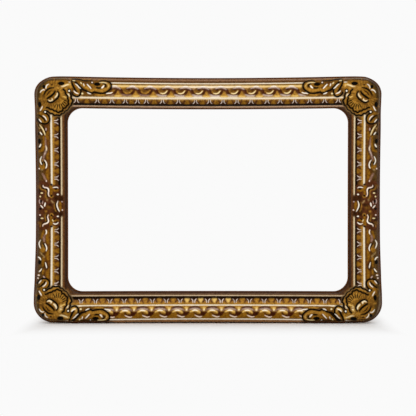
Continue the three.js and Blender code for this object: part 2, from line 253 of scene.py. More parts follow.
@dataclass(frozen=True)
class TubeForm:
    """The blown-up tube: a round section carried about a core rectangle, bowed between fat corners."""

    core_half_width: float = 0.2885
    core_low: float = 0.1065
    core_high: float = 0.4605
    side_reach: float = 0.1077
    top_reach: float = 0.1044
    bottom_reach: float = 0.1085
    inner_reach: float = 0.0368
    upper_radius: float = 0.0402
    lower_radius: float = 0.0502
    foot_side_reach: float = 0.1101
    foot_bottom_reach: float = 0.1028
    foot_radius: float = 0.0432
    side_bow: float = 0.0038
    top_bow: float = 0.0050
    bottom_bow: float = 0.0043
    opening_side_bow: float = 0.0002
    opening_top_bow: float = 0.0024
    opening_sill_bow: float = 0.0006
    run_half_depth: float = 0.034
    corner_half_depth: float = 0.040
    foot_rise: float = 0.09
    foot_side_share: float = 0.5
    foot_side_fade: Point = (0.0, 0.4)
    foot_floor_fade: Point = (1.05, 1.45)
    drawn_turn: Point = (0.87, 0.16)
    drawn_depth: float = 0.0022
    neck_rise: Point = (0.026, 0.030)
    neck_depth: float = 0.0009
    neck_turn: float = 0.9
    slack_share: Point = (0.02, -0.02)
    slack_turn: Point = (0.10, 0.30)
    border_fan: Point = (0.84, 0.90)
    border_turn: Point = (0.15, 0.45)
    shell_turn: Point = (0.60, 0.74)

    def runs(self) -> list[Run]:
        """List the four runs clockwise from the top, each with the corner at its end."""
        wide = self.core_half_width
        low = self.core_low
        high = self.core_high
        top = (self.top_reach, self.top_bow, self.opening_top_bow)
        side = (self.side_reach, self.side_bow, self.opening_side_bow)
        bottom = (self.bottom_reach, self.bottom_bow, self.opening_sill_bow)
        return [
            Run((-wide, high), (wide, high), (0.0, 1.0), *top, self.upper_radius),
            Run((wide, high), (wide, low), (1.0, 0.0), *side, self.lower_radius),
            Run((wide, low), (-wide, low), (0.0, -1.0), *bottom, self.lower_radius),
            Run((-wide, low), (-wide, high), (-1.0, 0.0), *side, self.upper_radius),
        ]

    def corner_reach(self, first: Run, second: Run, radius: float, angle: Array) -> Array:
        """Measure from the core's corner to the rounded outer seam.

        Args:
            first: the run at angle 0.
            second: the run at a right angle.
            radius: the outer seam's radius at the corner.
            angle: direction of the ray from the first run's, in radians.

        Returns:
            The length of each ray.
        """
        along = np.maximum(np.cos(angle), TINY)
        across = np.maximum(np.sin(angle), TINY)
        level = (first.reach - radius) * along + (second.reach - radius) * across
        gap = (first.reach - radius) ** 2 + (second.reach - radius) ** 2 - radius**2
        arc = level + np.sqrt(np.maximum(level**2 - gap, 0.0))
        on_first = first.outer(first.half() + first.reach * across / along, second.reach - radius) / along
        on_second = second.outer(second.half() + second.reach * along / across, first.reach - radius) / across
        reach = np.where(second.reach * along <= (first.reach - radius) * across, on_second, arc)
        return np.where(first.reach * across <= (second.reach - radius) * along, on_first, reach)

    def splay(self, base: Array, out: Array) -> Array:
        """Find how far the frame's weight spreads its feet, and how far its corners draw in.

        Args:
            base: the sections' places on the core.
            out: their outward directions.

        Returns:
            What each section's outer reach gains.
        """
        turn = np.arctan2(np.abs(out[:, 1]), np.abs(out[:, 0]))
        low = smoothstep(self.core_low + self.foot_rise, self.core_low, base[:, 1]) * (out[:, 1] < TINY)
        drawn = self.drawn_depth * bell(turn, *self.drawn_turn)
        rise = base[:, 1] - self.core_high + self.side_reach * np.tan(np.minimum(turn, self.neck_turn))
        neck = self.neck_depth * bell(rise, *self.neck_rise) * (out[:, 1] > -TINY)
        return low * self.foot(turn) - (1.0 - low) * (drawn + neck)

    def foot(self, turn: Array) -> Array:
        """Find what a lower corner gains where it stands splayed on its weld rim.

        Args:
            turn: direction of the ray from the core's corner, from the side's, in radians.

        Returns:
            What the outer reach gains; less than 0 where the corner lifts off the floor.
        """
        _, side, bottom, _ = self.runs()
        splayed = self.corner_reach(replace(side, reach=self.foot_side_reach),
                                    replace(bottom, reach=self.foot_bottom_reach), self.foot_radius, turn)
        gain = splayed - self.corner_reach(side, bottom, self.lower_radius, turn)
        plain = self.foot_side_share
        beside = plain + (1.0 - plain) * smoothstep(*self.foot_side_fade, turn)
        return gain * beside * (1.0 - smoothstep(*self.foot_floor_fade, turn))

    def stations(self, run_step: float, corner_step: float) -> Stations:
        """Lay cross sections clockwise round the tube, from the top left.

        Args:
            run_step: distance between sections on the straight runs.
            corner_step: distance between sections at the middle of a corner.

        Returns:
            The sections in order, with none at the end that repeats the first.
        """
        runs = self.runs()
        rows: list[list[Array]] = []
        for index, run in enumerate(runs):
            before = runs[index - 1]
            following = runs[(index + 1) % 4]
            start = np.array(run.start)
            end = np.array(run.end)
            out = np.array(run.out)
            count = round(2 * run.half() / run_step)
            share = np.arange(count) / count
            distance = (2.0 * share - 1.0) * run.half()
            room = np.where(distance < 0, before.reach - before.radius, following.reach - run.radius)
            rows.append([
                start + share[:, None] * (end - start),
                np.tile(out, (count, 1)),
                self.inner_reach - run.opening_bow * (1.0 - (2.0 * share - 1.0) ** 2),
                run.outer(distance, room),
                np.full(count, self.run_half_depth),
                np.zeros(count),
            ])
            count = round((self.inner_reach + run.reach) * math.pi / 4 / corner_step)
            angle = np.arange(count) / count * math.pi / 2
            swing = np.sin(2.0 * angle) ** 2
            rows.append([
                np.tile(end, (count, 1)),
                np.cos(angle)[:, None] * out + np.sin(angle)[:, None] * np.array(following.out),
                np.full(count, self.inner_reach),
                self.corner_reach(run, following, run.radius, angle),
                self.run_half_depth + (self.corner_half_depth - self.run_half_depth) * swing,
                swing,
            ])
        base, out, inner, outer, half_depth, corner = (np.concatenate(column) for column in zip(*rows))
        return Stations(base, out, inner, outer + self.splay(base, out), half_depth, corner)

    def skin(self, at: Stations, angles: Array, facing: Facing, inset: float = 0.0) -> Array:
        """Place the points of one film on the cross sections.

        Args:
            at: the cross sections.
            angles: angles over the tube, from the outer seam at 0 to the inner seam at pi.
            facing: which film.
            inset: depth under the tube's outside.

        Returns:
            Points as sections by angles by three, before the floor presses them.
        """
        middle = (at.outer + at.inner) / 2
        half = (at.outer - at.inner) / 2 - inset
        reach = middle[:, None] + half[:, None] * np.cos(angles)
        flat = at.base[:, None, :] + at.out[:, None, :] * reach[:, :, None]
        depth = facing.value * (at.half_depth - inset)[:, None] * np.sin(angles)
        return np.stack((flat[:, :, 0], depth, flat[:, :, 1]), axis=2)

    def locate(self, x: Array, z: Array) -> Place:
        """Find where points of the front view lie on the moulding.

        Args:
            x: sideways places.
            z: heights.

        Returns:
            The share across the tube, 0 at the inner seam and 1 at the outer, straight on into the corners;
            the share along the corner's fan; and which stretch it is.
        """
        top, side, bottom, _ = self.runs()
        middle = (self.core_low + self.core_high) / 2
        over_x = np.abs(x) - self.core_half_width
        over_z = np.abs(z - middle) - side.half()
        low = z < middle
        beside = over_x > over_z
        side_room = np.where(low, bottom.reach - self.lower_radius, top.reach - self.upper_radius)
        shares = []
        for run, over, distance, room in (
            (side, over_x, z - middle, side_room),
            (top, over_z, x, side.reach - self.upper_radius),
            (bottom, over_z, x, side.reach - self.lower_radius),
        ):
            inner = self.inner_reach - run.opening_bow * np.maximum(1.0 - (distance / run.half()) ** 2, 0.0)
            shares.append((over - inner) / (run.outer(distance, room) - inner))
        straight = np.where(beside, shares[0], np.where(low, shares[2], shares[1]))
        angle = np.arctan2(np.maximum(over_z, 0.0), np.maximum(over_x, TINY))
        upper = self.corner_reach(side, top, self.upper_radius, angle)
        lower = self.corner_reach(side, bottom, self.lower_radius, angle) + self.foot(angle)
        length = np.hypot(np.maximum(over_x, 0.0), np.maximum(over_z, 0.0))
        turned = (length - self.inner_reach) / (np.where(low, lower, upper) - self.inner_reach)
        inside = (over_x > 0) & (over_z > 0)
        turn = np.where(inside, np.minimum(angle, math.pi / 2 - angle), 0.0)
        slack = smoothstep(*self.slack_share, straight) * smoothstep(*self.slack_turn, turn)
        border = smoothstep(*self.border_fan, turned) * smoothstep(*self.border_turn, turn)
        corner = np.maximum(smoothstep(*self.shell_turn, turn), np.maximum(slack, border))
        return Place(straight, np.where(inside, turned, straight), beside * 1.0, low * 1.0, corner)


@dataclass(frozen=True)
class PhotoCamera:
    """The viewpoint: far off, level with the frame and a little above its middle."""

    distance: float = 3.2
    elevation: float = math.radians(1.2)
    aim: Triple = (0.0002, 0.0, 0.2648)
    field_width: float = 0.9576
    sensor: float = 36.0

    def position(self) -> Vector:
        """Return the camera's place."""
        away = Vector((0.0, -math.cos(self.elevation), math.sin(self.elevation)))
        return Vector(self.aim) + away * self.distance

    def seen(self, points: Array) -> tuple[Array, Array]:
        """Carry points along the lines of sight onto the plane of the seams.

        Args:
            points: points as rows of three.

        Returns:
            Their sideways places and heights in that plane.
        """
        eye = self.position()
        scale = -eye.y / (points[:, 1] - eye.y)
        return eye.x + (points[:, 0] - eye.x) * scale, eye.z + (points[:, 2] - eye.z) * scale

    def build(self) -> None:
        """Make the camera and give it to the scene."""
        data = bpy.data.cameras.new("photo_camera")
        data.sensor_width = self.sensor
        data.lens = self.sensor * self.distance / self.field_width
        camera = add_object("photo_camera", data)
        point_at(camera, self.position(), Vector(self.aim))
        bpy.context.scene.camera = camera


def curve_through(points: Line, closed: bool, steps: int = 7) -> Array:
    """Draw a smooth curve through a few points.

    Args:
        points: the points, in squares.
        closed: whether the curve comes back to its start.
        steps: pieces between two points.

    Returns:
        The curve's points as rows of two.
    """
    given = np.array(points, float)
    if closed:
        around = np.vstack((given[-1], given, given[0], given[1]))
    else:
        around = np.vstack((2 * given[0] - given[1], given, 2 * given[-1] - given[-2]))
    share = (np.arange(steps) / steps)[:, None]
    drawn = []
    for before, start, end, after in zip(around, around[1:], around[2:], around[3:]):
        slope = (end - before) / 2
        leave = (after - start) / 2
        bend = 3 * (end - start) - 2 * slope - leave
        twist = 2 * (start - end) + slope + leave
        drawn.append(start + slope * share + bend * share**2 + twist * share**3)
    if not closed:
        drawn.append(given[-1:])
    return np.vstack(drawn)


def gaps_to(points: Array, path: Array, half: Array) -> Array:
    """Measure from points to a drawn line of changing width.

    Args:
        points: points as rows of two.
        path: the line's points as rows of two.
        half: half of the line's width at each of its points.

    Returns:
        The distance to the line's edge, below 0 inside it.
    """
    start = path[:-1]
    step = path[1:] - start
    lengths = np.maximum((step**2).sum(1), TINY)
    away = points[:, None, :] - start
    share = np.clip((away * step).sum(2) / lengths, 0.0, 1.0)
    distance = np.linalg.norm(away - share[:, :, None] * step, axis=2)
    return (distance - half[:-1] - share * (half[1:] - half[:-1])).min(1)


@dataclass
class Plate:
    """The printing plate: soft washes, and each point's distance in squares from each ink's edge."""

    count: int
    far: float = 6.0
    layers: dict[Ink, Array] = field(default_factory=dict)
    wash: Array = field(default_factory=lambda: np.zeros((0, 4)))

    def __post_init__(self) -> None:
        """Start with no ink and no wash anywhere."""
        self.wash = np.zeros((self.count, 4))
        for ink in Ink:
            self.layers[ink] = np.full(self.count, self.far)

    def lay(self, mark: Ink | Tone, where: Array, gap: Array, soft: float) -> None:
        """Print one mark over what is there.

        Args:
            mark: the mark's ink or tone.
            where: numbers of the points near the mark.
            gap: distance from each of them to the mark's edge, below 0 inside.
            soft: how far a wash fades to each side of its edge.
        """
        lowest = mark if isinstance(mark, Ink) else -1
        for higher in Ink:
            if higher > lowest:
                self.layers[higher][where] = np.maximum(self.layers[higher][where], -gap)
        if isinstance(mark, Ink):
            self.layers[mark][where] = np.minimum(self.layers[mark][where], gap)
        else:
            cover = smoothstep(soft, -soft, gap)[:, None]
            self.wash[where] += (mark.linear() - self.wash[where]) * cover


@dataclass
class Page:
    """A stretch of squared paper laid on the film, with its own two counts of squares."""

    plate: Plate
    across: Array
    down: Array
    live: Array
    margin: float = 2.5
    nib: Point = (0.6, 1.6)
    lip: float = 1.25
    lip_width: float = 0.8
    wall_soft: float = 1.7
    dot_points: int = 8

    def near(self, path: Array, reach: float) -> Array:
        """Find the live points near a path.

        Args:
            path: the path.
            reach: how far from its box a point may lie.

        Returns:
            The points' numbers.
        """
        low = path.min(0) - reach
        high = path.max(0) + reach
        inside = self.live & (self.across > low[0]) & (self.across < high[0])
        return np.flatnonzero(inside & (self.down > low[1]) & (self.down < high[1]))

    def pen(self, mark: Ink | Tone, width: float, points: Line, taper: Taper = Taper.BOTH,
            soft: float = 0.7) -> None:
        """Draw a pen stroke through a few points.

        Args:
            mark: the ink or tone.
            width: the stroke's full width in squares.
            points: the points it passes.
            taper: which of its ends run thin.
            soft: how far a wash fades to each side of its edge.
        """
        path = curve_through(points, closed=False)
        run = np.linspace(0.0, 1.0, len(path))
        thin = np.ones(len(path))
        if taper in (Taper.START, Taper.BOTH):
            thin = np.minimum(thin, self.nib[0] + self.nib[1] * run)
        if taper in (Taper.END, Taper.BOTH):
            thin = np.minimum(thin, self.nib[0] + self.nib[1] * (1.0 - run))
        where = self.near(path, width / 2 + self.margin)
        if len(where):
            spots = np.stack((self.across[where], self.down[where]), axis=1)
            self.plate.lay(mark, where, gaps_to(spots, path, width / 2 * thin), soft)

    def cut(self, width: float, points: Line, taper: Taper = Taper.BOTH) -> None:
        """Cut a dark line with shaded walls and a gilt lip towards the outer corner.

        Args:
            width: the line's full width in squares.
            points: the points it passes.
            taper: which of its ends run thin.
        """
        self.pen(Tone.AMBER, self.lip_width, shifted(points, -self.lip, -self.lip), soft=0.8)
        self.pen(Tone.UMBER, width, points, taper, self.wall_soft)
        self.pen(Ink.OUTLINE, width, points, taper)

    def moved(self, shift: float) -> Self:
        """Return the same paper slid along by a number of squares."""
        return replace(self, across=self.across - shift)

    def fill(self, mark: Ink | Tone, points: Line, soft: float = 0.9) -> None:
        """Fill a rounded outline.

        Args:
            mark: the ink or tone.
            points: points of the outline, in order.
            soft: how far a wash fades to each side of its edge.
        """
        path = curve_through(points, closed=True)
        path = np.vstack((path, path[:1]))
        where = self.near(path, self.margin)
        if not len(where):
            return
        spots = np.stack((self.across[where], self.down[where]), axis=1)
        edge = gaps_to(spots, path, np.zeros(len(path)))
        start = path[:-1]
        end = path[1:]
        rise = end[:, 1] - start[:, 1]
        straddles = (start[:, 1] > spots[:, 1:]) != (end[:, 1] > spots[:, 1:])
        run = (spots[:, 1:] - start[:, 1]) / np.where(rise == 0, 1.0, rise)
        crosses = straddles & (spots[:, :1] < start[:, 0] + run * (end[:, 0] - start[:, 0]))
        inside = crosses.sum(1) % 2 == 1
        self.plate.lay(mark, where, np.where(inside, -edge, edge), soft)

    def dot(self, mark: Ink | Tone, centre: Point, radii: Point, turn: float = 0.0,
            soft: float = 0.9) -> None:
        """Fill an ellipse.

        Args:
            mark: the ink or tone.
            centre: its middle.
            radii: its half axes.
            turn: its turn in degrees.
            soft: how far a wash fades to each side of its edge.
        """
        angle = full_turn(self.dot_points)
        lean = math.radians(turn)
        wide = radii[0] * np.cos(angle)
        tall = radii[1] * np.sin(angle)
        across = centre[0] + wide * math.cos(lean) - tall * math.sin(lean)
        down = centre[1] + wide * math.sin(lean) + tall * math.cos(lean)
        self.fill(mark, list(zip(across.tolist(), down.tolist())), soft)


Motif = TypeVar("Motif", bound=Page)


@dataclass
class ScrollBand(Page):
    """The running scroll along the top and bottom, counted along it and in from the outer edge."""

    lit_from: float = -42.0

    def paint(self, crest: float, period: float, reach: float, low: bool) -> None:
        """Draw the S shapes one after another.

        Args:
            crest: place of one crest.
            period: places from one crest to the next.
            reach: how far the band runs to each side of the middle.
            low: whether it is the bottom's band.
        """
        first = math.ceil((-reach - crest) / period)
        last = math.floor((reach - crest) / period)
        for index in range(first, last + 1):
            place = crest + index * period
            if low:
                self.moved(place).wave()
            else:
                self.moved(place).letter(place > self.lit_from)

    def letter(self, lit: bool) -> None:
        """Draw one S of the top band.

        Args:
            lit: whether light falls into its curl.
        """
        self.fill(Tone.AMBER, [(2.9, 15.6), (4.8, 18.2), (7.6, 21), (3.2, 21.4), (-1, 21), (1.2, 18.2)])
        self.pen(Tone.HONEY, 1.6, [(0.2, 20.7), (3.2, 20.9), (6.2, 20.7)])
        self.pen(Tone.RUSSET, 3.4, [(-2, 13.3), (2, 13.5), (5, 14.6), (7.2, 17), (9.6, 19)])
        self.pen(Tone.MAROON, 1.8, [(5.6, 13.6), (7, 15.4), (8.4, 17.4), (10, 18.9)])
        self.pen(Tone.MAROON, 2, [(1.6, 14.6), (0.9, 16.8), (-0.4, 19)])
        self.dot(Tone.BRONZE, (-5, 14.5), (3.9, 2.4))
        self.dot(Tone.MAROON, (-4.2, 13.8), (2, 1.3), 20, 0.8)
        self.pen(Tone.MAROON, 2, [(-10.4, 16.6), (-8.6, 18.7), (-5.4, 19.3), (-2.2, 18.5), (-0.4, 16.4)])
        glow = Tone.LILAC if lit else Tone.DUSK
        self.pen(glow, 1.5, [(-10.8, 19.2), (-8, 19.9), (-5, 20.2), (-2, 19.8)])
        curl = [(-9.1, 15.9), (-7.4, 17.5), (-5, 18), (-2.6, 17.2), (-0.8, 15.2)]
        self.pen(Tone.AMBER, 1.3, curl)
        if lit:
            self.pen(Ink.STRAW, 1.05, curl[1:])
        self.pen(Tone.LILAC, 1.3, [(-5.4, 12.8), (-2.6, 12), (0, 11.8), (3, 12.3), (5.4, 13.6)])
        self.pen(Ink.GLINT, 0.9, [(-2.8, 11), (0, 10.7), (2.4, 11.1)])

    def wave(self) -> None:
        """Draw one S of the bottom band."""
        self.fill(Tone.AMBER, [(4.4, 16.8), (13.2, 16.8), (10.8, 14), (9, 11.4), (7.2, 14)])
        self.fill(Tone.HONEY, [(7.2, 15.4), (10.8, 15.4), (9.8, 13.4), (9, 12.2), (8.2, 13.4)])
        self.fill(Tone.OCHRE, [(-9.4, 5), (-4, 4.8), (-0.6, 5.4), (-1.4, 8.6), (-0.6, 11), (-4.8, 11.4),
                               (-6.8, 8.4)])
        self.fill(Tone.RUSSET, [(-6.4, 15.6), (0, 16.9), (5.4, 15.8), (3.8, 14.2), (0, 14.2), (-4.8, 14.2)],
                  0.7)
        self.pen(Tone.DUSK, 2, [(-7, 12.2), (-4.4, 13.6), (-1, 14.2), (2.6, 14), (5.6, 12.9), (6.8, 11.8)])
        self.pen(Tone.LILAC, 0.9, [(-4.4, 13.4), (-1, 14.1), (2.6, 13.9), (5, 13)])
        self.fill(Tone.MAROON, [(5.4, 11.8), (8.4, 11), (11, 11.2), (12.2, 10.2), (10, 7.4), (8, 6.6),
                                (4.4, 6.7), (1, 7.6), (-1.5, 10.4), (0.4, 10.4), (2.2, 8.6), (4.4, 9.2)],
                  0.7)
        self.pen(Tone.AMBER, 1.5, [(1.6, 11), (4.2, 10.6), (4.8, 9.2)])
        self.pen(Tone.HONEY, 2.1, [(-4.6, 10.8), (-2.6, 12), (0, 12.4), (2.6, 11.8), (4.6, 10.6)])
        self.pen(Ink.GLINT, 1.15, [(-2.6, 12.2), (0, 12.6), (2.6, 12.1)])
        self.pen(Ink.PEARL, 1.1, [(-0.2, 7.5), (2.2, 6.4), (4.6, 5.7), (6.8, 6.2)])
        self.dot(Tone.CREAM, (9, 13), (0.8, 0.9))


class LeafTips(Page):
    """The leaf tips on the inner slope: two pale strokes in a dark hollow for each, and gold between."""

    def paint(self, places: Sequence[float], ends: Point, gilt: Tone, lit: float = 0.0) -> None:
        """Draw the tips.

        Args:
            places: the tips' places along the row.
            ends: squares to a tip's ends, the one at the outer edge first.
            gilt: the tone between two tips.
            lit: how far from the middle the gilding shines.
        """
        foot, tip = ends
        for place, following in zip(places, places[1:]):
            middle = (place + following) / 2
            sheet = self.moved(middle)
            for hand in (-1, 1):
                sheet.pen(Tone.RUSSET, 1.6, [(hand * 2.2, foot - 0.2), (hand * 3.6, tip)])
            sheet.fill(Tone.HONEY if abs(middle) < lit else gilt, [
                (-2.5, tip), (0, tip + 0.4), (2.5, tip), (1.3, foot + 0.6), (0, foot - 0.4),
                (-1.3, foot + 0.6),
            ])
        for place in places:
            sheet = self.moved(place)
            sheet.fill(Ink.UMBER, [(0, foot - 0.4), (1.7, foot + 0.7), (3.2, tip + 0.3), (0, tip + 0.9),
                                   (-3.2, tip + 0.3), (-1.7, foot + 0.7)])
            for hand in (-1, 1):
                sheet.pen(Ink.PEARL, 0.9 if abs(place) < lit else 0.7, [
                    (hand * 0.95, foot - 0.8), (hand * 1, foot + 1), (hand * 1.4, (foot + tip) / 2 + 0.6),
                    (hand * 2.5, tip),
                ])


@dataclass
class CornerShell(Page):
    """The carved shell with its bud, flutes and scalloped rim, counted in from the corner's outer edges."""

    rim: tuple[Point, ...] = (
        (36.7, 18.5), (37.4, 21), (37.4, 23.4), (39.1, 25.4), (38.3, 27.9), (37.4, 30.3), (35.5, 32.3),
        (34, 34.9), (31.5, 36.1), (30.3, 38), (27.9, 38.8), (26, 40.5), (23.2, 40.1), (20.4, 40.5),
        (18.5, 38.7), (16.4, 38.4), (14.5, 37), (13, 36),
    )
    scallop: tuple[Point, ...] = (
        (29.5, 14.5), (31.4, 16.4), (31.6, 18.5), (32.8, 20.1), (34.3, 21.4), (33.7, 23.4), (34.6, 25.4),
        (34.3, 27.4), (34.9, 29.3), (33, 30.9), (31.7, 32.9), (29.4, 33.6), (28.6, 35.9), (26.3, 36.6),
        (24.3, 37.8), (22.4, 36.2), (20.4, 35.9), (18.4, 34.4), (16.3, 34.2), (14.5, 32.9), (12.8, 32.5),
    )
    border: tuple[Point, ...] = (
        (34, 5.4), (22, 5), (12, 6), (7, 9.5), (4.8, 15), (4.2, 24), (4.6, 34),
    )
    flutes: int = 7
    flute_centre: Point = (24.8, 23.6)
    flute_turn: Point = (18.0, 16.0)
    flute_near: float = 5.4
    flute_far: Point = (8.2, 1.9)
    streaked: int = 26
    streak_centre: Point = (19.0, 21.0)
    streak_turn: Point = (-112.0, 11.0)
    streak_near: Point = (8.6, 1.4)
    streak_length: Point = (3.4, 1.6)
    streak_swing: float = 0.085

    def paint(self, light: Tone, slip: Point) -> None:
        """Draw the shell.

        Args:
            light: tone of the light beside the bud.
            slip: how far the shell has slipped on the film, which leaves its border in place.
        """
        border = shifted(self.border, *slip)
        self.fill(Tone.GOLD, [*border, *reversed(self.rim)])
        self.shades(light)
        self.streaks()
        self.pen(Tone.UMBER, 0.9, border, Taper.BOTH, 0.9)
        self.pen(Tone.TAN, 2.4, self.rim, Taper.NONE, 1.4)
        self.fill(Tone.AMBER, [(21, 29), (25, 27.4), (29, 25), (32.8, 26.2), (30, 32), (25, 34.6),
                               (20.4, 33.2)], 0.8)
        self.cut(1.75, self.rim[:6], Taper.NONE)
        self.cut(1.2, self.rim[5:11], Taper.NONE)
        self.cut(1.65, self.rim[10:], Taper.NONE)
        self.cut(1.6, self.scallop, Taper.NONE)
        for index in range(self.flutes):
            turn = math.radians(self.flute_turn[0] + self.flute_turn[1] * index)
            far = self.flute_far[0] + self.flute_far[1] * math.sin(turn) ** 2
            self.pen(Ink.OUTLINE, 1.15, ray(self.flute_centre, turn, self.flute_near, far), Taper.START)
        self.pen(Tone.AMBER, 0.9, [(35.5, 21), (35.6, 23.4), (36.7, 25.6), (36.5, 27.8)], soft=0.5)
        self.pen(Tone.AMBER, 0.9, [(24.8, 39), (21.4, 38.2), (18.2, 36.8), (15, 35.2)], soft=0.5)
        self.pen(Tone.CREAM, 1.1, [(34, 18.9), (34.9, 20), (35.4, 21.4)])
        self.pen(Tone.HONEY, 1.2, [(29.6, 21.5), (31, 22.2), (32.4, 23)])
        self.bud(1.5 if light is Tone.HONEY else 1)
        self.hollows()

    def shades(self, light: Tone) -> None:
        """Wash the lights and shades of the gilding.

        Args:
            light: tone of the light beside the bud.
        """
        self.fill(Tone.OLIVE, [(4, 16), (5, 10.5), (9, 6.8), (14, 6.2), (12.6, 9), (8.6, 12.6), (7.2, 18),
                               (6.8, 26), (6, 34), (3.8, 32)], 1.4)
        self.fill(Tone.AMBER, [(18, 10.4), (24, 11.6), (30, 12.8), (33, 15), (27, 14.6), (20, 14)], 1.5)
        self.fill(light, [(26.2, 14), (29, 16.5), (29.8, 20.6), (28.2, 22.4), (26.8, 19)], 1.4)
        if light is Tone.HONEY:
            self.dot(Tone.CREAM, (28.5, 19), (0.9, 1.6), soft=1.2)
        self.pen(Tone.AMBER, 3.2, [(23.6, 13.2), (28, 12), (32, 10.6), (36, 9.2)], soft=1.5)
        self.pen(Tone.HONEY, 1.6, [(27, 12), (31, 10.9), (34, 9.8), (36.4, 9.4)], soft=1.3)
        self.fill(Tone.BRONZE, [(9.6, 27.6), (14, 28.4), (20, 29.2), (22, 33), (15, 32.8), (10, 31)], 1.3)
        self.fill(Tone.BRONZE, [(8, 20), (11.6, 21), (11.6, 27), (8.4, 30), (6.8, 25)], 1.4)
        self.fill(Tone.BRONZE, [(20.6, 28), (26, 25.6), (32, 24.4), (34, 28.6), (28, 33.6), (23, 35.6)],
                  1.4)

    def streaks(self) -> None:
        """Brush light and dark streaks outwards from the bud over the gilding."""
        for index in range(self.streaked):
            turn = math.radians(self.streak_turn[0] + self.streak_turn[1] * index)
            near = self.streak_near[0] + self.streak_near[1] * (index % 3)
            far = near + self.streak_length[0] + self.streak_length[1] * (index % 4)
            for swing, tone in ((0, Tone.BRONZE), (self.streak_swing, Tone.AMBER)):
                self.pen(tone, 0.8, ray(self.streak_centre, turn + swing, near, far), soft=0.6)

    def bud(self, shine: float) -> None:
        """Draw the bud in the middle of the shell.

        Args:
            shine: width of the bud's two lights.
        """
        self.cut(1.6, [(20, 12.7), (16, 13.5), (13, 15.5), (11.3, 17.5), (10, 20.3)])
        self.pen(Ink.UMBER, 1.3, [(17.8, 15.8), (15.5, 17), (14, 19), (13, 20.8)])
        self.cut(1.95, [(21.5, 16.2), (20.2, 18.5), (17.5, 21), (14.5, 23), (13.2, 23.7)])
        self.cut(1.8, [(23.6, 16.3), (25, 18.2), (25.1, 20.5), (23.8, 23.2), (21.5, 25.3), (19, 27),
                       (16.5, 27.6), (14.2, 26.7), (13.5, 25.8)])
        self.pen(Tone.CREAM, shine, [(23.6, 18.3), (23.3, 20.3), (22, 22), (21, 22.8)], soft=0.6)
        self.pen(Tone.CREAM, shine, [(14.8, 25.5), (16.5, 26.2), (18.5, 25.2), (18.3, 23.9)], soft=0.6)

    def hollows(self) -> None:
        """Draw the pierced hollows about the shell and the glints on their lips."""
        self.dot(Ink.OUTLINE, (27.5, 8.6), (3.4, 1.9))
        self.pen(Tone.CREAM, 0.9, [(34.6, 9.6), (32.5, 10.4), (30.5, 11.1), (27.6, 11.6)], soft=0.7)
        self.dot(Ink.OUTLINE, (6, 29.6), (1.8, 2.9))
        self.pen(Ink.GLINT, 1, [(8.7, 31.3), (8, 33), (7, 34.7), (6.3, 35.8)])
        self.pen(Ink.GLINT, 1.02, [(15, 9.3), (13.3, 10.3), (12.2, 12.2), (12.4, 13.7)])
        self.pen(Ink.GLINT, 1.02, [(11, 15.3), (9.7, 14.8), (7.8, 15.8), (6.4, 17.8)])
        self.dot(Ink.OUTLINE, (10.2, 11.8), (1.7, 1.9))
        self.dot(Ink.UMBER, (9.8, 8.3), (1.2, 0.8))
        self.dot(Ink.UMBER, (18, 10), (1.2, 0.8))
        for centre, ring, dot in (
            ((35.4, 16), (1.7, 2.3), (0.8, 0.9)),
            ((11.4, 37), (1.9, 1.9), (0.8, 0.8)),
        ):
            self.dot(Ink.OUTLINE, centre, ring)
            self.dot(Ink.GLINT, centre, dot)


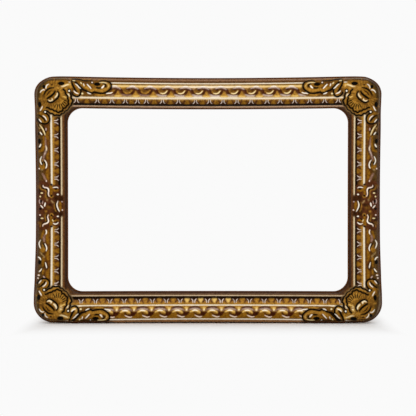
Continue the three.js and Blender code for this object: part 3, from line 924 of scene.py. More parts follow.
@dataclass
class LeafScroll(Page):
    """The tongue and the curled leaf along the top and bottom, counted in from the corner's outer edges."""

    leaf: tuple[Point, ...] = (
        (39.5, 5.8), (43, 8.5), (46, 11.5), (48.5, 14), (50.5, 15.3), (52.5, 16), (55.5, 17.6),
        (58.5, 18.2), (60.2, 17.3), (62, 17.6), (65, 18.2), (68.5, 18.6), (71.5, 17.8), (74.5, 16),
        (76.5, 14), (77.5, 11.5), (77, 9), (75.3, 7.2), (72.5, 6.2), (69, 6), (66, 6.5),
    )
    tongue: tuple[Point, ...] = (
        (37.8, 17.5), (39, 19.8), (41.5, 21.3), (44, 21.6), (46, 20.3), (46.9, 18), (47, 15.5), (46.2, 13),
    )

    def paint(self) -> None:
        """Draw the tongue and the leaf."""
        self.fill(Tone.BRONZE, [(47, 16), (53, 16), (60, 18), (70, 18.4), (76, 17), (77, 20), (70, 21.6),
                                (60, 21.6), (48, 21)])
        self.fill(Tone.GOLD, [*self.leaf, (58, 6.2), (50, 5.8)])
        self.fill(Tone.BRONZE, [(45, 6.4), (52, 6.4), (60, 6.6), (66, 7.2), (64, 9), (57, 9.6), (50, 9)],
                  1.3)
        self.pen(Tone.RUSSET, 1.4, [(50.8, 7.4), (53, 9), (55.6, 11), (58.6, 13)], soft=1)
        self.pen(Tone.AMBER, 2.6, [(52, 12.6), (57, 15), (62, 15.2), (68, 15.6), (72.6, 14)])
        self.pen(Tone.AMBER, 2, [(68, 7.4), (73, 8.4), (74.8, 11.2), (73.4, 13.8)])
        self.pen(Tone.HONEY, 0.9, [(73.8, 9.4), (74.9, 11.2), (74, 13.2)])
        self.cut(1.75, self.leaf, Taper.END)
        self.cut(1.2, [(38, 4.2), (42, 4.3), (46, 4.8), (50, 5.8), (54, 6), (58, 6)])
        self.pen(Ink.STRAW, 1.1, [(46.8, 7.5), (48, 9)])
        self.pen(Ink.GLINT, 0.935, [(49.6, 8.8), (50.4, 11.2)])
        self.pen(Ink.GLINT, 1.1, [(53.2, 9.3), (55.3, 11.5), (57.3, 13.8)])
        self.dot(Ink.OUTLINE, (63.4, 9.4), (3.3, 1.8))
        self.cut(1.4, [(69.5, 8.5), (71.3, 9.5), (72, 11), (71, 12.3)])
        self.cut(1.5, [(62.5, 12.7), (64.5, 13.2), (67, 12.9)])
        self.pen(Ink.GLINT, 1.44, [(70, 10.8), (69, 12.2), (67.8, 13.2)])
        self.pen(Ink.STRAW, 0.8, [(65.5, 7.7), (70, 7.8), (73.5, 8.5)])
        self.dot(Ink.OUTLINE, (58.3, 7.8), (1.6, 1.3))
        self.dot(Ink.PEARL, (58.3, 7.6), (0.8, 0.7))
        self.below()

    def sill(self) -> None:
        """Draw the border under the bottom's leaf."""
        self.pen(Tone.RUSSET, 1.8, [(26, 2.6), (50, 2.6), (80, 2.6)], soft=0.6)
        self.pen(Ink.OUTLINE, 0.9, [(36, 3.9), (50, 4.2), (64, 3.9), (78, 4)])

    def below(self) -> None:
        """Draw the lights under the leaf."""
        self.pen(Ink.GLINT, 0.95, [(53.5, 17.6), (55, 18.5), (57, 19.1)])
        self.dot(Ink.STRAW, (48.5, 18.7), (1, 0.9))
        self.pen(Tone.AMBER, 1.6, [(62, 20), (66, 20.2), (71, 19.8)])
        self.pen(Ink.GLINT, 1, [(72.5, 18.8), (74.5, 18.4), (76.5, 18.3), (78.5, 17.5)])

    def lobe(self, low: bool) -> None:
        """Draw the tongue beside the shell.

        Args:
            low: whether it is at the bottom, where its head is lighter.
        """
        self.fill(Tone.GOLD, [*self.tongue, (43, 8.8), (39.5, 6.4), (37, 6), (36.6, 11)])
        self.fill(Tone.BRONZE, [(38, 12), (40.4, 15.6), (40, 19), (37.6, 17)], 1.2)
        if low:
            self.pen(Tone.HONEY, 2.2, [(39.8, 16.8), (41.4, 18.6), (43.6, 19.2), (45, 17.8), (45.2, 16)])
        self.cut(1.7, self.tongue, Taper.NONE)
        self.cut(1.6, self.leaf[:5], Taper.NONE)
        self.cut(1.8, [(37.8, 6), (38.5, 9.5), (39.8, 12), (41.3, 15), (42.8, 16.5)])
        self.pen(Tone.AMBER, 2, [(35.8, 8.8), (36.8, 11), (37.4, 13.2)])
        self.pen(Ink.GLINT, 0.95, [(41.5, 9), (43.5, 10.5), (45, 12.3), (46.8, 13.7)])
        self.pen(Ink.GLINT, 1, [(40, 16), (41.5, 17.6), (43, 18.3), (44.5, 18.9)])
        self.pen(Ink.STRAW, 0.85, [(38.8, 5.6), (41.4, 6)])


@dataclass
class SideScroll(Page):
    """The tongue and the winding leaf along the sides, counted in from the corner's outer edges."""

    tongue: tuple[Point, ...] = (
        (10.5, 37.8), (13.5, 39.2), (15.3, 42), (15.8, 44.8), (14.7, 47.4), (12, 48.8), (8.5, 48.6),
        (5.6, 46.8), (3.2, 44),
    )

    def lobe(self) -> None:
        """Draw the tongue beside the shell."""
        self.fill(Tone.GOLD, [*self.tongue, (3.6, 39), (7, 37)])
        self.fill(Tone.OLIVE, [(2.6, 38), (5.6, 39), (6.4, 43), (4, 44), (2.4, 42)], 1.3)
        self.cut(1.6, self.tongue, Taper.NONE)
        self.cut(1.5, [(5, 39.8), (8.2, 42.2), (10.6, 44.6), (11.6, 46.6)])
        self.pen(Ink.GLINT, 0.9, [(9, 40.6), (11.5, 42.6), (12.8, 45.2)])
        self.pen(Ink.GLINT, 0.9, [(5.2, 44.2), (6.4, 45.8), (7.6, 47.2)])

    def swags(self, places: tuple[Point, ...]) -> None:
        """Draw the gilt swells beside the cream line.

        Args:
            places: each swell's place and half its length.
        """
        for place, length in places:
            self.pen(Tone.OCHRE, 2.8, [(13.9, place - length), (13.1, place), (13.9, place + length)],
                     soft=1)

    def upper(self) -> None:
        """Draw the leaf and the ribbon of the upper half."""
        self.swags(((60.5, 3.5), (80, 3.5), (99.5, 4.5)))
        self.pen(Tone.GOLD, 2.6, [(6.2, 50.8), (8.2, 54.4), (9.8, 58)])
        self.cut(1, [(3.8, 49), (6, 53), (7.6, 56.4), (9.4, 60.8)])
        self.cut(1, [(8.4, 50.2), (10.4, 53.8), (12.2, 58.4)])
        self.pen(Ink.STRAW, 1, [(5.8, 49.8), (8.5, 53.5), (10.5, 57.5), (11.3, 60.3)])
        self.dot(Ink.MAUVE, (12.2, 54.3), (0.7, 1.5))
        self.dot(Tone.TAN, (6, 53.3), (0.8, 0.8))
        self.dot(Ink.OUTLINE, (5, 58.6), (0.8, 1.8))
        self.pen(Ink.GLINT, 1, [(6.2, 57.2), (8.2, 59.8)])
        self.pen(Tone.OCHRE, 2.6, [(9.6, 61.5), (10.4, 66), (10, 71), (8.5, 75), (5.5, 76.5)])
        self.dot(Ink.OUTLINE, (5.6, 66.2), (1.5, 2.6))
        self.pen(Tone.DUSK, 1.3, [(11.4, 62.5), (11.7, 66), (11.8, 70)])
        self.dot(Ink.OUTLINE, (5.7, 73.2), (1.2, 1))
        self.pen(Ink.GLINT, 1.22, [(7, 69.2), (6.2, 71), (5.4, 72)])
        self.pen(Tone.UMBER, 3.4, [(12.4, 71), (12.6, 75.5), (11, 79), (9.4, 84)], soft=1.2)
        self.pen(Tone.DUSK, 2, [(11.8, 69), (12.5, 73.5), (12, 76.5), (10.6, 79.5), (9.6, 83), (9.2, 86)],
                 soft=0.9)
        self.pen(Tone.LILAC, 0.9, [(11.9, 70.6), (12.5, 73.5), (12, 76), (11, 78.5), (10.2, 80.5)])
        self.pen(Tone.CREAM, 0.6, [(12.2, 71.4), (12.7, 73.6), (12.5, 75.2)])
        self.fill(Tone.GOLD, [(6, 89.6), (9, 90.4), (11.4, 89.6), (11.6, 92.6), (9, 94.2), (6, 93.4)])
        self.cut(1, [(9.4, 86), (11, 88.4), (11.3, 91)])
        self.dot(Ink.OUTLINE, (8.6, 88.2), (0.9, 1.2))
        self.pen(Ink.GLINT, 1, [(7.8, 81.5), (6.7, 83.8), (6.4, 86), (7.2, 88.5), (8, 89.5)])
        self.pen(Ink.GLINT, 1, [(10.6, 85), (12.2, 87.3), (12.8, 90), (12.3, 92.4), (11.6, 93.2)])
        self.dot(Ink.PEARL, (5.3, 93.6), (0.7, 0.7))
        self.dot(Tone.TAN, (8, 94.8), (1.1, 0.7))
        self.pen(Tone.DUSK, 2, [(8.4, 98.6), (9.8, 101), (11.4, 104), (12.5, 107)])
        self.dot(Ink.PEARL, (12.4, 106), (0.6, 0.8))

    def lower(self) -> None:
        """Draw the leaf and the ribbon of the lower half."""
        self.swags(((50.5, 4.5), (69.5, 4.5), (88, 6)))
        self.pen(Tone.OCHRE, 2, [(9.4, 94), (8.4, 90), (7.4, 87)])
        self.pen(Tone.DUSK, 2.2, [(10.6, 90), (9.7, 86.5), (10.4, 83.5)])
        self.fill(Tone.GOLD, [(6.6, 77), (10.4, 77.4), (11, 74.6), (8.4, 72.6), (6.4, 74.2)])
        self.pen(Ink.GLINT, 1, [(11.3, 96), (12.3, 94), (12.3, 92), (11.6, 90.7)])
        self.pen(Ink.GLINT, 0.957, [(6.5, 85), (5.2, 82.7), (5, 80.5), (5.8, 78), (6.4, 76.7)])
        self.cut(1, [(9.4, 81.4), (10.8, 79), (11.4, 76.6)])
        self.pen(Ink.GLINT, 1.04, [(10.8, 81.3), (12, 79), (12.6, 76.5), (12, 74)])
        self.pen(Tone.OCHRE, 2.6, [(9, 67), (9.3, 63), (8.6, 59)])
        self.pen(Tone.TAN, 1.1, [(6, 72.5), (7.8, 70.7), (9.7, 68.7), (10.1, 67.2)])
        self.dot(Ink.OUTLINE, (5.4, 62.9), (1.6, 2.3))
        self.pen(Ink.GLINT, 1.13, [(4, 68), (5.5, 67), (6.8, 65)])
        self.pen(Tone.UMBER, 3, [(11, 63), (12, 59.5), (12.6, 56)], soft=1.2)
        self.pen(Ink.GLINT, 0.95, [(11.2, 62.5), (12, 59.5), (12.5, 57)])
        self.cut(1, [(8.4, 54.8), (6.8, 52.8), (5.4, 51.4)])
        self.pen(Ink.GLINT, 1.04, [(7.5, 56.2), (6.3, 54.5), (4.8, 53)])
        self.pen(Tone.GOLD, 2.2, [(9, 55), (8.6, 51)])
        self.dot(Ink.PEARL, (4.5, 49.7), (1.2, 0.7))
        self.dot(Ink.PEARL, (3.8, 46.8), (0.8, 0.7))
        self.pen(Ink.MAUVE, 1.3, [(9.2, 48.7), (10.6, 46.9)])


@dataclass
class Cartouche(Page):
    """The strapwork cartouche on each side, counted in from the outer edge and up from its middle."""

    ground: tuple[Point, ...] = (
        (4, 21.5), (16, 22.5), (18.5, 20.5), (25.5, 20), (26, 10.8), (29.3, 9.8), (29.8, 0), (29.3, -9.8),
        (26, -10.8), (25.5, -20), (18.5, -20.5), (16, -22.5), (4, -21.5),
    )

    def paint(self) -> None:
        """Draw the cartouche."""
        self.fill(Tone.RUSSET, self.ground, 1.2)
        for centre in ((6, 15), (5.6, -14), (22, 7.6), (21.6, -6.6), (27, 7), (27, -8.4)):
            self.dot(Tone.UMBER, centre, (2.4, 3), soft=1.6)
        for centre in ((12.4, 9), (12, -9.6), (5, 19), (5.6, -17.6), (14.6, -2)):
            self.dot(Tone.BRONZE, centre, (2.2, 1.8), soft=1.6)
        for hand in (1, -1):
            self.fill(Tone.OCHRE, [(15.6, 20 * hand), (19, 18.6 * hand), (18.8, 14 * hand),
                                   (17.8, 10.4 * hand), (16.2, 11 * hand), (15.9, 15 * hand)])
            self.pen(Tone.OCHRE, 2, [(18.6, 16.2 * hand), (21.5, 14.8 * hand), (24.2, 15.4 * hand)])
            self.pen(Tone.AMBER, 1.1, [(15.5, 10 * hand), (17.5, 8.2 * hand), (19.2, 9.5 * hand)])
            self.dot(Ink.OUTLINE, (17.4, 9.7 * hand), (1, 1))
            self.dot(Ink.OUTLINE, (17.5, 20.9 * hand), (1.3, 0.8))
        self.upper()
        self.lower()
        self.strap()

    def upper(self) -> None:
        """Draw the upper curls."""
        curl = [(9.2, 20.3), (9.3, 18.9), (11, 18), (13, 17.7), (14.4, 16.5), (14.7, 14.5), (14.4, 12.3),
                (14.6, 10.5), (15.3, 9.2)]
        self.cut(1, shifted(curl, -1.3, -0.9))
        self.pen(Ink.PEARL, 1.13, curl)
        self.pen(Ink.GLINT, 0.87, curl[3:6])
        self.dot(Ink.OUTLINE, (22, 16.5), (1.4, 0.8))
        self.pen(Ink.GLINT, 0.913, [(18.8, 17.8), (21, 18.3), (23, 18.3), (24.2, 17.5)])
        self.dot(Ink.GLINT, (23.8, 11.1), (1.1, 0.7))
        self.dot(Ink.STRAW, (7.8, 12.5), (1.3, 0.7))
        self.dot(Ink.STRAW, (6.3, 9), (0.8, 0.8))

    def lower(self) -> None:
        """Draw the lower curls."""
        curl = [(14.4, -9.3), (13.6, -11.5), (14.2, -14), (14.4, -16), (12.8, -17.7), (10.5, -18.4),
                (9, -19.5), (8.6, -20.9)]
        self.cut(1, shifted(curl, -1.3, 0.9))
        self.pen(Ink.PEARL, 1.13, curl)
        self.pen(Ink.GLINT, 0.87, curl[2:6])
        self.dot(Ink.OUTLINE, (20.5, -13.7), (1.3, 0.8), 20)
        self.dot(Ink.OUTLINE, (22.7, -16.5), (1.4, 0.7))
        self.pen(Ink.STRAW, 0.87, [(18.3, -14), (19.3, -16)])
        self.pen(Ink.GLINT, 1, [(19.2, -17.8), (21, -18.6), (23, -18.1), (24.2, -16.9)])
        self.dot(Ink.OUTLINE, (24.3, -12.2), (1.3, 0.7))
        self.dot(Ink.GLINT, (23.8, -10.8), (1.1, 0.7))
        self.dot(Ink.STRAW, (8, -12.8), (1.6, 0.6))
        self.dot(Ink.PEARL, (6, -9.5), (0.8, 0.7))
        self.dot(Tone.AMBER, (11.8, -5.8), (1.1, 0.9))

    def strap(self) -> None:
        """Draw the strap across the middle."""
        self.fill(Tone.OCHRE, [(25.4, 4), (27.2, 2.6), (27.6, -2), (26.8, -5.4), (25.4, -3.6), (24.4, 0)])
        self.cut(1, [(22.4, 4.4), (21.6, 1.2), (22, -1.6), (23.2, -4.6)])
        self.pen(Ink.GLINT, 1.04, [(24, 4.5), (23, 1.5), (23.2, -1), (24.3, -3.8), (25.5, -6.1)])
        self.dot(Ink.MAUVE, (28, 3.8), (0.9, 0.7))
        self.dot(Ink.PEARL, (28.3, -4.5), (0.7, 0.8))
        self.dot(Ink.OUTLINE, (7, 4.2), (1, 1.7))
        self.pen(Ink.MAUVE, 1, [(5.8, 6.5), (5.3, 4), (6, 1.7)])
        self.pen(Ink.MAUVE, 0.9, [(8.9, 4.5), (8.3, 1.7)])
        self.pen(Ink.GLINT, 1.26, [(11.3, 2.7), (10.5, -0.8)])
        self.dot(Ink.OUTLINE, (6.3, -3.3), (1.4, 1.2))
        self.pen(Ink.GLINT, 1, [(6.5, 0.2), (8, -1.3), (9, -2.5)])
        self.dot(Tone.TAN, (13.2, 5.5), (0.8, 0.8))
        self.pen(Tone.TAN, 1.2, [(17.3, 4.8), (19.5, 2.5)])
        self.dot(Tone.UMBER, (16.5, 0.5), (1.7, 1.6))


@dataclass(frozen=True)
class Register:
    """How one corner is printed: where it is, its first leaf tip and their step, and its motifs' slips."""

    hand: int
    low: bool
    tips: Point
    shell: Point = (0.0, 0.0)
    leaf: Point = (0.0, 0.0)
    lobe: Point = (0.0, 0.0)
    side: Point = (0.0, 0.0)


class Corner(Enum):
    """The four corners of the print."""

    TOP_LEFT = Register(-1, False, (46.7, 14.1))
    TOP_RIGHT = Register(1, False, (46.7, 14.1), leaf=(-1.5, 0.0), lobe=(-1.5, 0.0))
    BOTTOM_LEFT = Register(-1, True, (40.7, 13.4), (1.5, 2.0), (2.0, 3.0), (2.9, 2.8), (0.5, 2.5))
    BOTTOM_RIGHT = Register(1, True, (40.7, 13.4), (-0.5, 2.5), (-1.75, 3.0), (0.0, 2.8), (0.5, 3.0))


@dataclass
class Print:
    """The whole gilt moulding, printed on the front film."""

    form: TubeForm
    camera: PhotoCamera
    points: Array
    square: float = 0.002302
    half_width: float = 0.4003
    height: float = 0.5709
    edge_squares: float = 1.97
    cartouche_height: float = 0.2705
    band_reach: float = 126.0
    top_crest: float = -39.9
    top_period: float = 17.65
    top_slip: float = 0.0124
    bottom_crest: float = 4.6
    bottom_period: float = 17.5
    bottom_slip: float = -0.019
    # painted sheen: the top band is painted lighter within about this many squares of its middle
    painted_sheen_reach: float = 38.0
    top_rule: Point = (3.78, 28.4)
    bottom_rule: Point = (0.67, 29.84)
    side_rule: Point = (2.2, 30.5)
    top_tip_ends: Point = (24.8, 28.0)
    bottom_tip_ends: Point = (20.6, 24.0)
    side_tip_ends: Point = (20.8, 24.3)
    top_tips: tuple[float, ...] = (
        -131.3, -110.4, -95.9, -82.4, -70.4, -61.4, -45.4, -29.4, -12.4, 1.6, 15.1, 29.1, 43.1, 59.1, 72.1,
        86.6, 101.6, 116.6, 130.1,
    )
    bottom_tips: int = 9
    bottom_tip_start: float = -0.4
    bottom_tip_step: float = 13.6
    bottom_tip_growth: float = 0.095
    bottom_tip_lean: float = 0.042
    bottom_tip_lit: float = 26.0
    side_tips: int = 5

    def __post_init__(self) -> None:
        """See where the film's points lie, and lay a clean plate on them."""
        self.x, self.z = self.camera.seen(self.points)
        self.inset = (self.half_width - np.abs(self.x)) / self.square
        self.place = self.form.locate(self.x, self.z)
        self.plate = Plate(len(self.points))

    def marks(self) -> tuple[dict[str, Array], Array]:
        """Print the film's points.

        Returns:
            For each attribute of the print, its value at every point; and the washes as rows of four.
        """
        self.rows()
        for corner in Corner:
            self.corner(corner.value)
        place = self.place
        rise = (self.z - self.cartouche_height) / self.square
        Cartouche(self.plate, self.inset, rise, place.side > 0.5).paint()
        values = {f"ink_{ink.name.lower()}": self.plate.layers[ink] for ink in Ink}
        slip = np.where(place.bottom > 0.5, self.bottom_slip, self.top_slip) * (1.0 - place.side)
        values["share"] = place.share + slip
        values["fan"] = place.fan
        values["on_side"] = place.side
        values["on_bottom"] = place.bottom
        values["on_corner"] = place.corner
        # painted sheen along the top band, strongest at its middle
        values["glow"] = bell(self.x / self.square, 0.0, self.painted_sheen_reach)
        return values, self.plate.wash

    def inward(self, rule: Point) -> Array:
        """Count squares in from the outer seam, by the count there and how many lie across the tube."""
        return rule[0] + rule[1] * (1.0 - self.place.share)

    def quarter(self, motif: type[Motif], at: Register, slip: Point = (0.0, 0.0)) -> Motif:
        """Lay a motif's paper on one corner.

        Args:
            motif: the motif.
            at: the corner.
            slip: how far the motif has slipped.

        Returns:
            Paper counted in from the outer side edge and the outer top or bottom edge.
        """
        middle = (self.form.core_low + self.form.core_high) / 2
        rise = self.z + self.edge_squares * self.square if at.low else self.height - self.z
        live = (self.x * at.hand > 0) & ((self.z < middle) == at.low)
        return motif(self.plate, self.inset + slip[0], rise / self.square + slip[1], live)

    def corner(self, at: Register) -> None:
        """Draw one corner's shell and what runs from it along the side, the top or the bottom.

        Args:
            at: the corner.
        """
        scroll = self.quarter(SideScroll, at)
        live = scroll.live & (self.place.side > 0.5)
        places = [at.tips[0] + index * at.tips[1] for index in range(self.side_tips)]
        tips = LeafTips(self.plate, scroll.down, self.inward(self.side_rule), live)
        tips.paint(places, self.side_tip_ends, Tone.GOLD)
        if at.low:
            scroll.lower()
        else:
            scroll.upper()
        self.quarter(SideScroll, at, at.side).lobe()
        self.quarter(LeafScroll, at, at.leaf).paint()
        self.quarter(LeafScroll, at, at.lobe).lobe(at.low)
        if at.low:
            self.quarter(LeafScroll, at).sill()
        light = Tone.HONEY if at.low else Tone.AMBER
        self.quarter(CornerShell, at, at.shell).paint(light, at.shell)

    def rows(self) -> None:
        """Draw the rows that repeat along the top and the bottom."""
        level = self.place.side < 0.5
        low = self.place.bottom > 0.5
        along = self.x / self.square
        top = (self.plate, along, self.inward(self.top_rule), level & ~low)
        bottom = (self.plate, along, self.inward(self.bottom_rule), level & low)
        ScrollBand(*top).paint(self.top_crest, self.top_period, self.band_reach, low=False)
        ScrollBand(*bottom).paint(self.bottom_crest, self.bottom_period, self.band_reach, low=True)
        LeafTips(*top).paint(self.top_tips, self.top_tip_ends, Tone.GOLD)
        step = np.arange(-self.bottom_tips, self.bottom_tips + 1)
        spaced = step * (self.bottom_tip_step + self.bottom_tip_growth * np.abs(step))
        places = spaced + self.bottom_tip_lean * step**2 + self.bottom_tip_start
        LeafTips(*bottom).paint(places.tolist(), self.bottom_tip_ends, Tone.AMBER, self.bottom_tip_lit)


@dataclass
class NodeSheet:
    """A node tree, with short calls to add and join nodes."""

    tree: bpy.types.NodeTree

    def put(self, node: bpy.types.Node, values: Values) -> None:
        """Set a node's sockets to values, or join them to other sockets.

        Args:
            node: the node.
            values: what each socket gets, by the socket's name or number.
        """
        for key, value in values.items():
            if isinstance(value, Socket):
                self.tree.links.new(value, node.inputs[key])
            else:
                node.inputs[key].default_value = value

    def add(self, kind: str, values: Values | None = None, **settings: object) -> bpy.types.Node:
        """Add a node.

        Args:
            kind: the node's type.
            values: what its sockets get.
            settings: its properties.

        Returns:
            The node.
        """
        node = self.tree.nodes.new(kind)
        for key, value in settings.items():
            setattr(node, key, value)
        self.put(node, values or {})
        return node

    def larger(self, first: Socket, second: Socket) -> Socket:
        """Return the larger of two values."""
        return self.add("ShaderNodeMath", {0: first, 1: second}, operation="MAXIMUM").outputs["Value"]


class Shader(NodeSheet):
    """A material's nodes, about its surface shader."""

    cloud_ends: Point = (0.35, 0.65)

    def __init__(self, name: str) -> None:
        """Start a material.

        Args:
            name: the material's name.
        """
        self.material = bpy.data.materials.new(name)
        self.material.use_nodes = True
        super().__init__(self.material.node_tree)
        self.surface = self.tree.nodes["Principled BSDF"]

    def attribute(self, name: str) -> Socket:
        """Read one of the mesh's own values."""
        return self.add("ShaderNodeAttribute", attribute_name=name).outputs["Fac"]

    def place(self) -> Socket:
        """Read the place on the object."""
        return self.add("ShaderNodeTexCoord").outputs["Object"]

    def noise(self, scale: float, detail: float = 3.0, rough: float = 0.55) -> Socket:
        """Add a soft random field.

        Args:
            scale: how many changes to a metre.
            detail: number of finer fields on it.
            rough: strength of the finer fields.

        Returns:
            Its value, about 0.5 on average.
        """
        values = {"Vector": self.place(), "Scale": scale, "Detail": detail, "Roughness": rough}
        return self.add("ShaderNodeTexNoise", values).outputs["Fac"]

    def spread(self, value: Socket, low: float, high: float, to_low: float = 0.0,
               to_high: float = 1.0) -> Socket:
        """Carry a value from one range to another, smoothly and within its ends.

        Args:
            value: the value.
            low: where the new range starts.
            high: where the new range ends.
            to_low: new value at low.
            to_high: new value at high.

        Returns:
            The new value.
        """
        values = dict(enumerate((value, low, high, to_low, to_high)))
        return self.add("ShaderNodeMapRange", values, interpolation_type="SMOOTHSTEP").outputs["Result"]

    def ramp(self, value: Socket, bands: list[Stop]) -> Socket:
        """Turn a value into a colour.

        Args:
            value: the value.
            bands: places from 0 to 1 with their colours.

        Returns:
            The colour.
        """
        node = self.add("ShaderNodeValToRGB", {"Fac": value})
        elements = node.color_ramp.elements
        while len(elements) < len(bands):
            elements.new(0.5)
        for element, (place, colour) in zip(elements, bands):
            element.position = place
            element.color = colour
        return node.outputs["Color"]

    def cloud(self, scale: float, detail: float, dark: Colour, fair: Colour) -> Socket:
        """Drift softly between two colours."""
        return self.ramp(self.noise(scale, detail), list(zip(self.cloud_ends, (dark, fair))))

    def mix(self, share: object, low: object, high: object, blend: str = "MIX") -> Socket:
        """Mix two colours.

        Args:
            share: how much of the second.
            low: the first colour.
            high: the second colour.
            blend: how they are mixed.

        Returns:
            The mixed colour.
        """
        node = self.add("ShaderNodeMix", {"Factor": share}, data_type="RGBA", blend_type=blend)
        self.put(node, {6: low, 7: high})
        return node.outputs[2]

    def bump(self, height: Socket, distance: float, strength: float) -> None:
        """Give the surface a fine relief.

        Args:
            height: the relief.
            distance: its height in metres.
            strength: how much of it shows.
        """
        node = self.add("ShaderNodeBump", {"Height": height, "Distance": distance, "Strength": strength})
        self.put(self.surface, {"Normal": node.outputs["Normal"]})


@dataclass(frozen=True)
class Vinyl:
    """Glossy soft PVC: how it shines, whatever its colour."""

    roughness: float = 0.34
    specular: float = 0.30
    dull_scale: float = 35.0
    dull_noise: Point = (0.3, 0.7)
    dull_spread: Point = (-0.05, 0.06)
    grain_scale: float = 900.0
    grain_detail: float = 2.0
    grain_height: float = 0.00004
    grain_strength: float = 0.12

    def shine(self, shader: Shader) -> None:
        """Set the gloss and the fine calender grain of the film.

        Args:
            shader: the material.
        """
        low, high = (self.roughness + change for change in self.dull_spread)
        dull = shader.spread(shader.noise(self.dull_scale), *self.dull_noise, low, high)
        shader.put(shader.surface, {"Specular IOR Level": self.specular, "Roughness": dull})
        grain = shader.noise(self.grain_scale, self.grain_detail)
        shader.bump(grain, self.grain_height, self.grain_strength)


@dataclass(frozen=True)
class PrintedVinyl:
    """The front film: bands of the moulding by their share across the tube, washes and inks over them."""

    vinyl: Vinyl = Vinyl(roughness=0.42, specular=0.015)
    edge: float = 0.42
    umber: Colour = screen(48, 24, 8)
    outline: Colour = screen(8, 4, 1)
    mauve: Colour = screen(178, 152, 140)
    straw: Colour = screen(238, 216, 160)
    pearl: Colour = screen(238, 216, 198)
    glint: Colour = screen(250, 240, 222)
    mottle_scale: float = 210.0
    mottle_detail: float = 5.0
    mottle_rough: float = 0.68
    mottle_light: Point = (0.25, 0.6)
    mottle_share: Point = (0.75, 0.12)
    mottle_tones: tuple[Band, ...] = ((0.34, 132, 114, 88), (0.6, 255, 252, 246))

    def top_bands(self, glow: bool) -> list[Stop]:
        """Return the bands along the top, from the opening outwards.

        Args:
            glow: whether they are the ones at its middle, which carry a painted sheen.

        Returns:
            The bands.
        """
        lip = (
            (0, 75, 44, 24), (0.012, 165, 130, 98), (0.03, 200, 164, 132), (0.066, 196, 162, 130),
            (0.078, 12, 5, 1), (0.128, 12, 5, 1), (0.143, 44, 26, 11), (0.172, 86, 58, 30),
            (0.215, 108, 72, 32), (0.262, 152, 106, 38),
        )
        plain = (
            (0.295, 174, 130, 64), (0.322, 236, 218, 186), (0.355, 236, 220, 192), (0.375, 196, 168, 118),
            (0.43, 170, 134, 88), (0.47, 132, 98, 60), (0.52, 112, 78, 42), (0.6, 112, 74, 20),
            (0.64, 144, 98, 26), (0.7, 188, 138, 52), (0.76, 240, 206, 136), (0.79, 205, 168, 100),
            (0.806, 164, 124, 54), (0.825, 120, 84, 20), (0.842, 152, 122, 74), (0.858, 240, 228, 206),
            (0.878, 236, 222, 198), (0.892, 112, 78, 40),
        )
        # bands under the painted sheen at the top's middle: wider, lighter cream and gold
        painted_sheen = (
            (0.3, 184, 148, 90), (0.34, 236, 220, 190), (0.378, 242, 230, 206), (0.415, 224, 206, 180),
            (0.44, 175, 146, 114), (0.52, 126, 92, 56), (0.6, 138, 96, 36), (0.69, 170, 132, 92),
            (0.715, 214, 186, 152), (0.74, 246, 230, 204), (0.765, 246, 226, 186), (0.79, 208, 176, 124),
            (0.815, 158, 120, 60), (0.842, 176, 150, 108), (0.86, 232, 218, 194), (0.878, 222, 206, 180),
            (0.892, 110, 76, 38),
        )
        border = ((0.93, 92, 56, 16), (0.965, 140, 100, 66), (0.99, 154, 114, 80))
        return stops(*lip, *(painted_sheen if glow else plain), *border)

    def bottom_bands(self) -> list[Stop]:
        """Return the bands along the bottom, from the opening outwards."""
        return stops(
            (0, 62, 40, 28), (0.015, 95, 64, 42), (0.04, 114, 80, 50), (0.065, 128, 96, 62),
            (0.08, 220, 198, 166), (0.096, 198, 172, 138), (0.11, 84, 60, 34), (0.124, 18, 8, 2),
            (0.19, 18, 8, 2), (0.21, 60, 36, 16), (0.236, 132, 90, 44), (0.3, 166, 118, 56),
            (0.34, 180, 130, 44), (0.375, 168, 122, 42), (0.394, 212, 190, 152), (0.412, 246, 235, 212),
            (0.432, 234, 216, 184), (0.448, 148, 106, 40), (0.482, 146, 104, 32), (0.665, 150, 106, 30),
            (0.79, 148, 104, 26), (0.83, 128, 92, 22), (0.855, 124, 96, 44), (0.87, 240, 226, 204),
            (0.892, 252, 244, 228), (0.908, 176, 140, 100), (0.925, 158, 114, 72), (0.96, 180, 132, 86),
            (0.99, 156, 114, 76),
        )

    def side_bands(self) -> list[Stop]:
        """Return the bands along the sides, from the opening outwards."""
        return stops(
            (0.015, 61, 37, 21), (0.04, 60, 34, 18), (0.065, 84, 50, 22), (0.09, 114, 70, 32),
            (0.12, 126, 84, 44), (0.136, 138, 102, 64), (0.152, 205, 185, 146), (0.17, 224, 206, 170),
            (0.188, 214, 194, 156), (0.2, 120, 96, 64), (0.211, 22, 11, 4), (0.266, 14, 6, 2),
            (0.282, 50, 30, 14), (0.305, 90, 58, 24), (0.36, 110, 72, 24), (0.415, 152, 107, 38),
            (0.44, 178, 132, 48), (0.46, 178, 134, 60), (0.474, 192, 160, 106), (0.488, 222, 211, 188),
            (0.515, 229, 220, 203), (0.533, 208, 190, 156), (0.55, 116, 80, 38), (0.572, 92, 56, 16),
            (0.605, 116, 74, 26), (0.64, 102, 60, 22), (0.74, 92, 57, 20), (0.84, 88, 62, 24),
            (0.915, 94, 68, 34), (0.99, 84, 58, 36),
        )

    def corner_bands(self) -> list[Stop]:
        """Return the slope inside the shell and the border outside it, from the opening outwards."""
        return stops(
            (0, 62, 40, 24), (0.05, 84, 54, 28), (0.12, 122, 80, 34), (0.3, 128, 84, 34),
            (0.86, 104, 74, 32), (0.9, 85, 62, 28), (0.93, 70, 50, 22), (0.955, 105, 85, 55),
            (0.975, 125, 104, 78), (1, 80, 58, 35),
        )

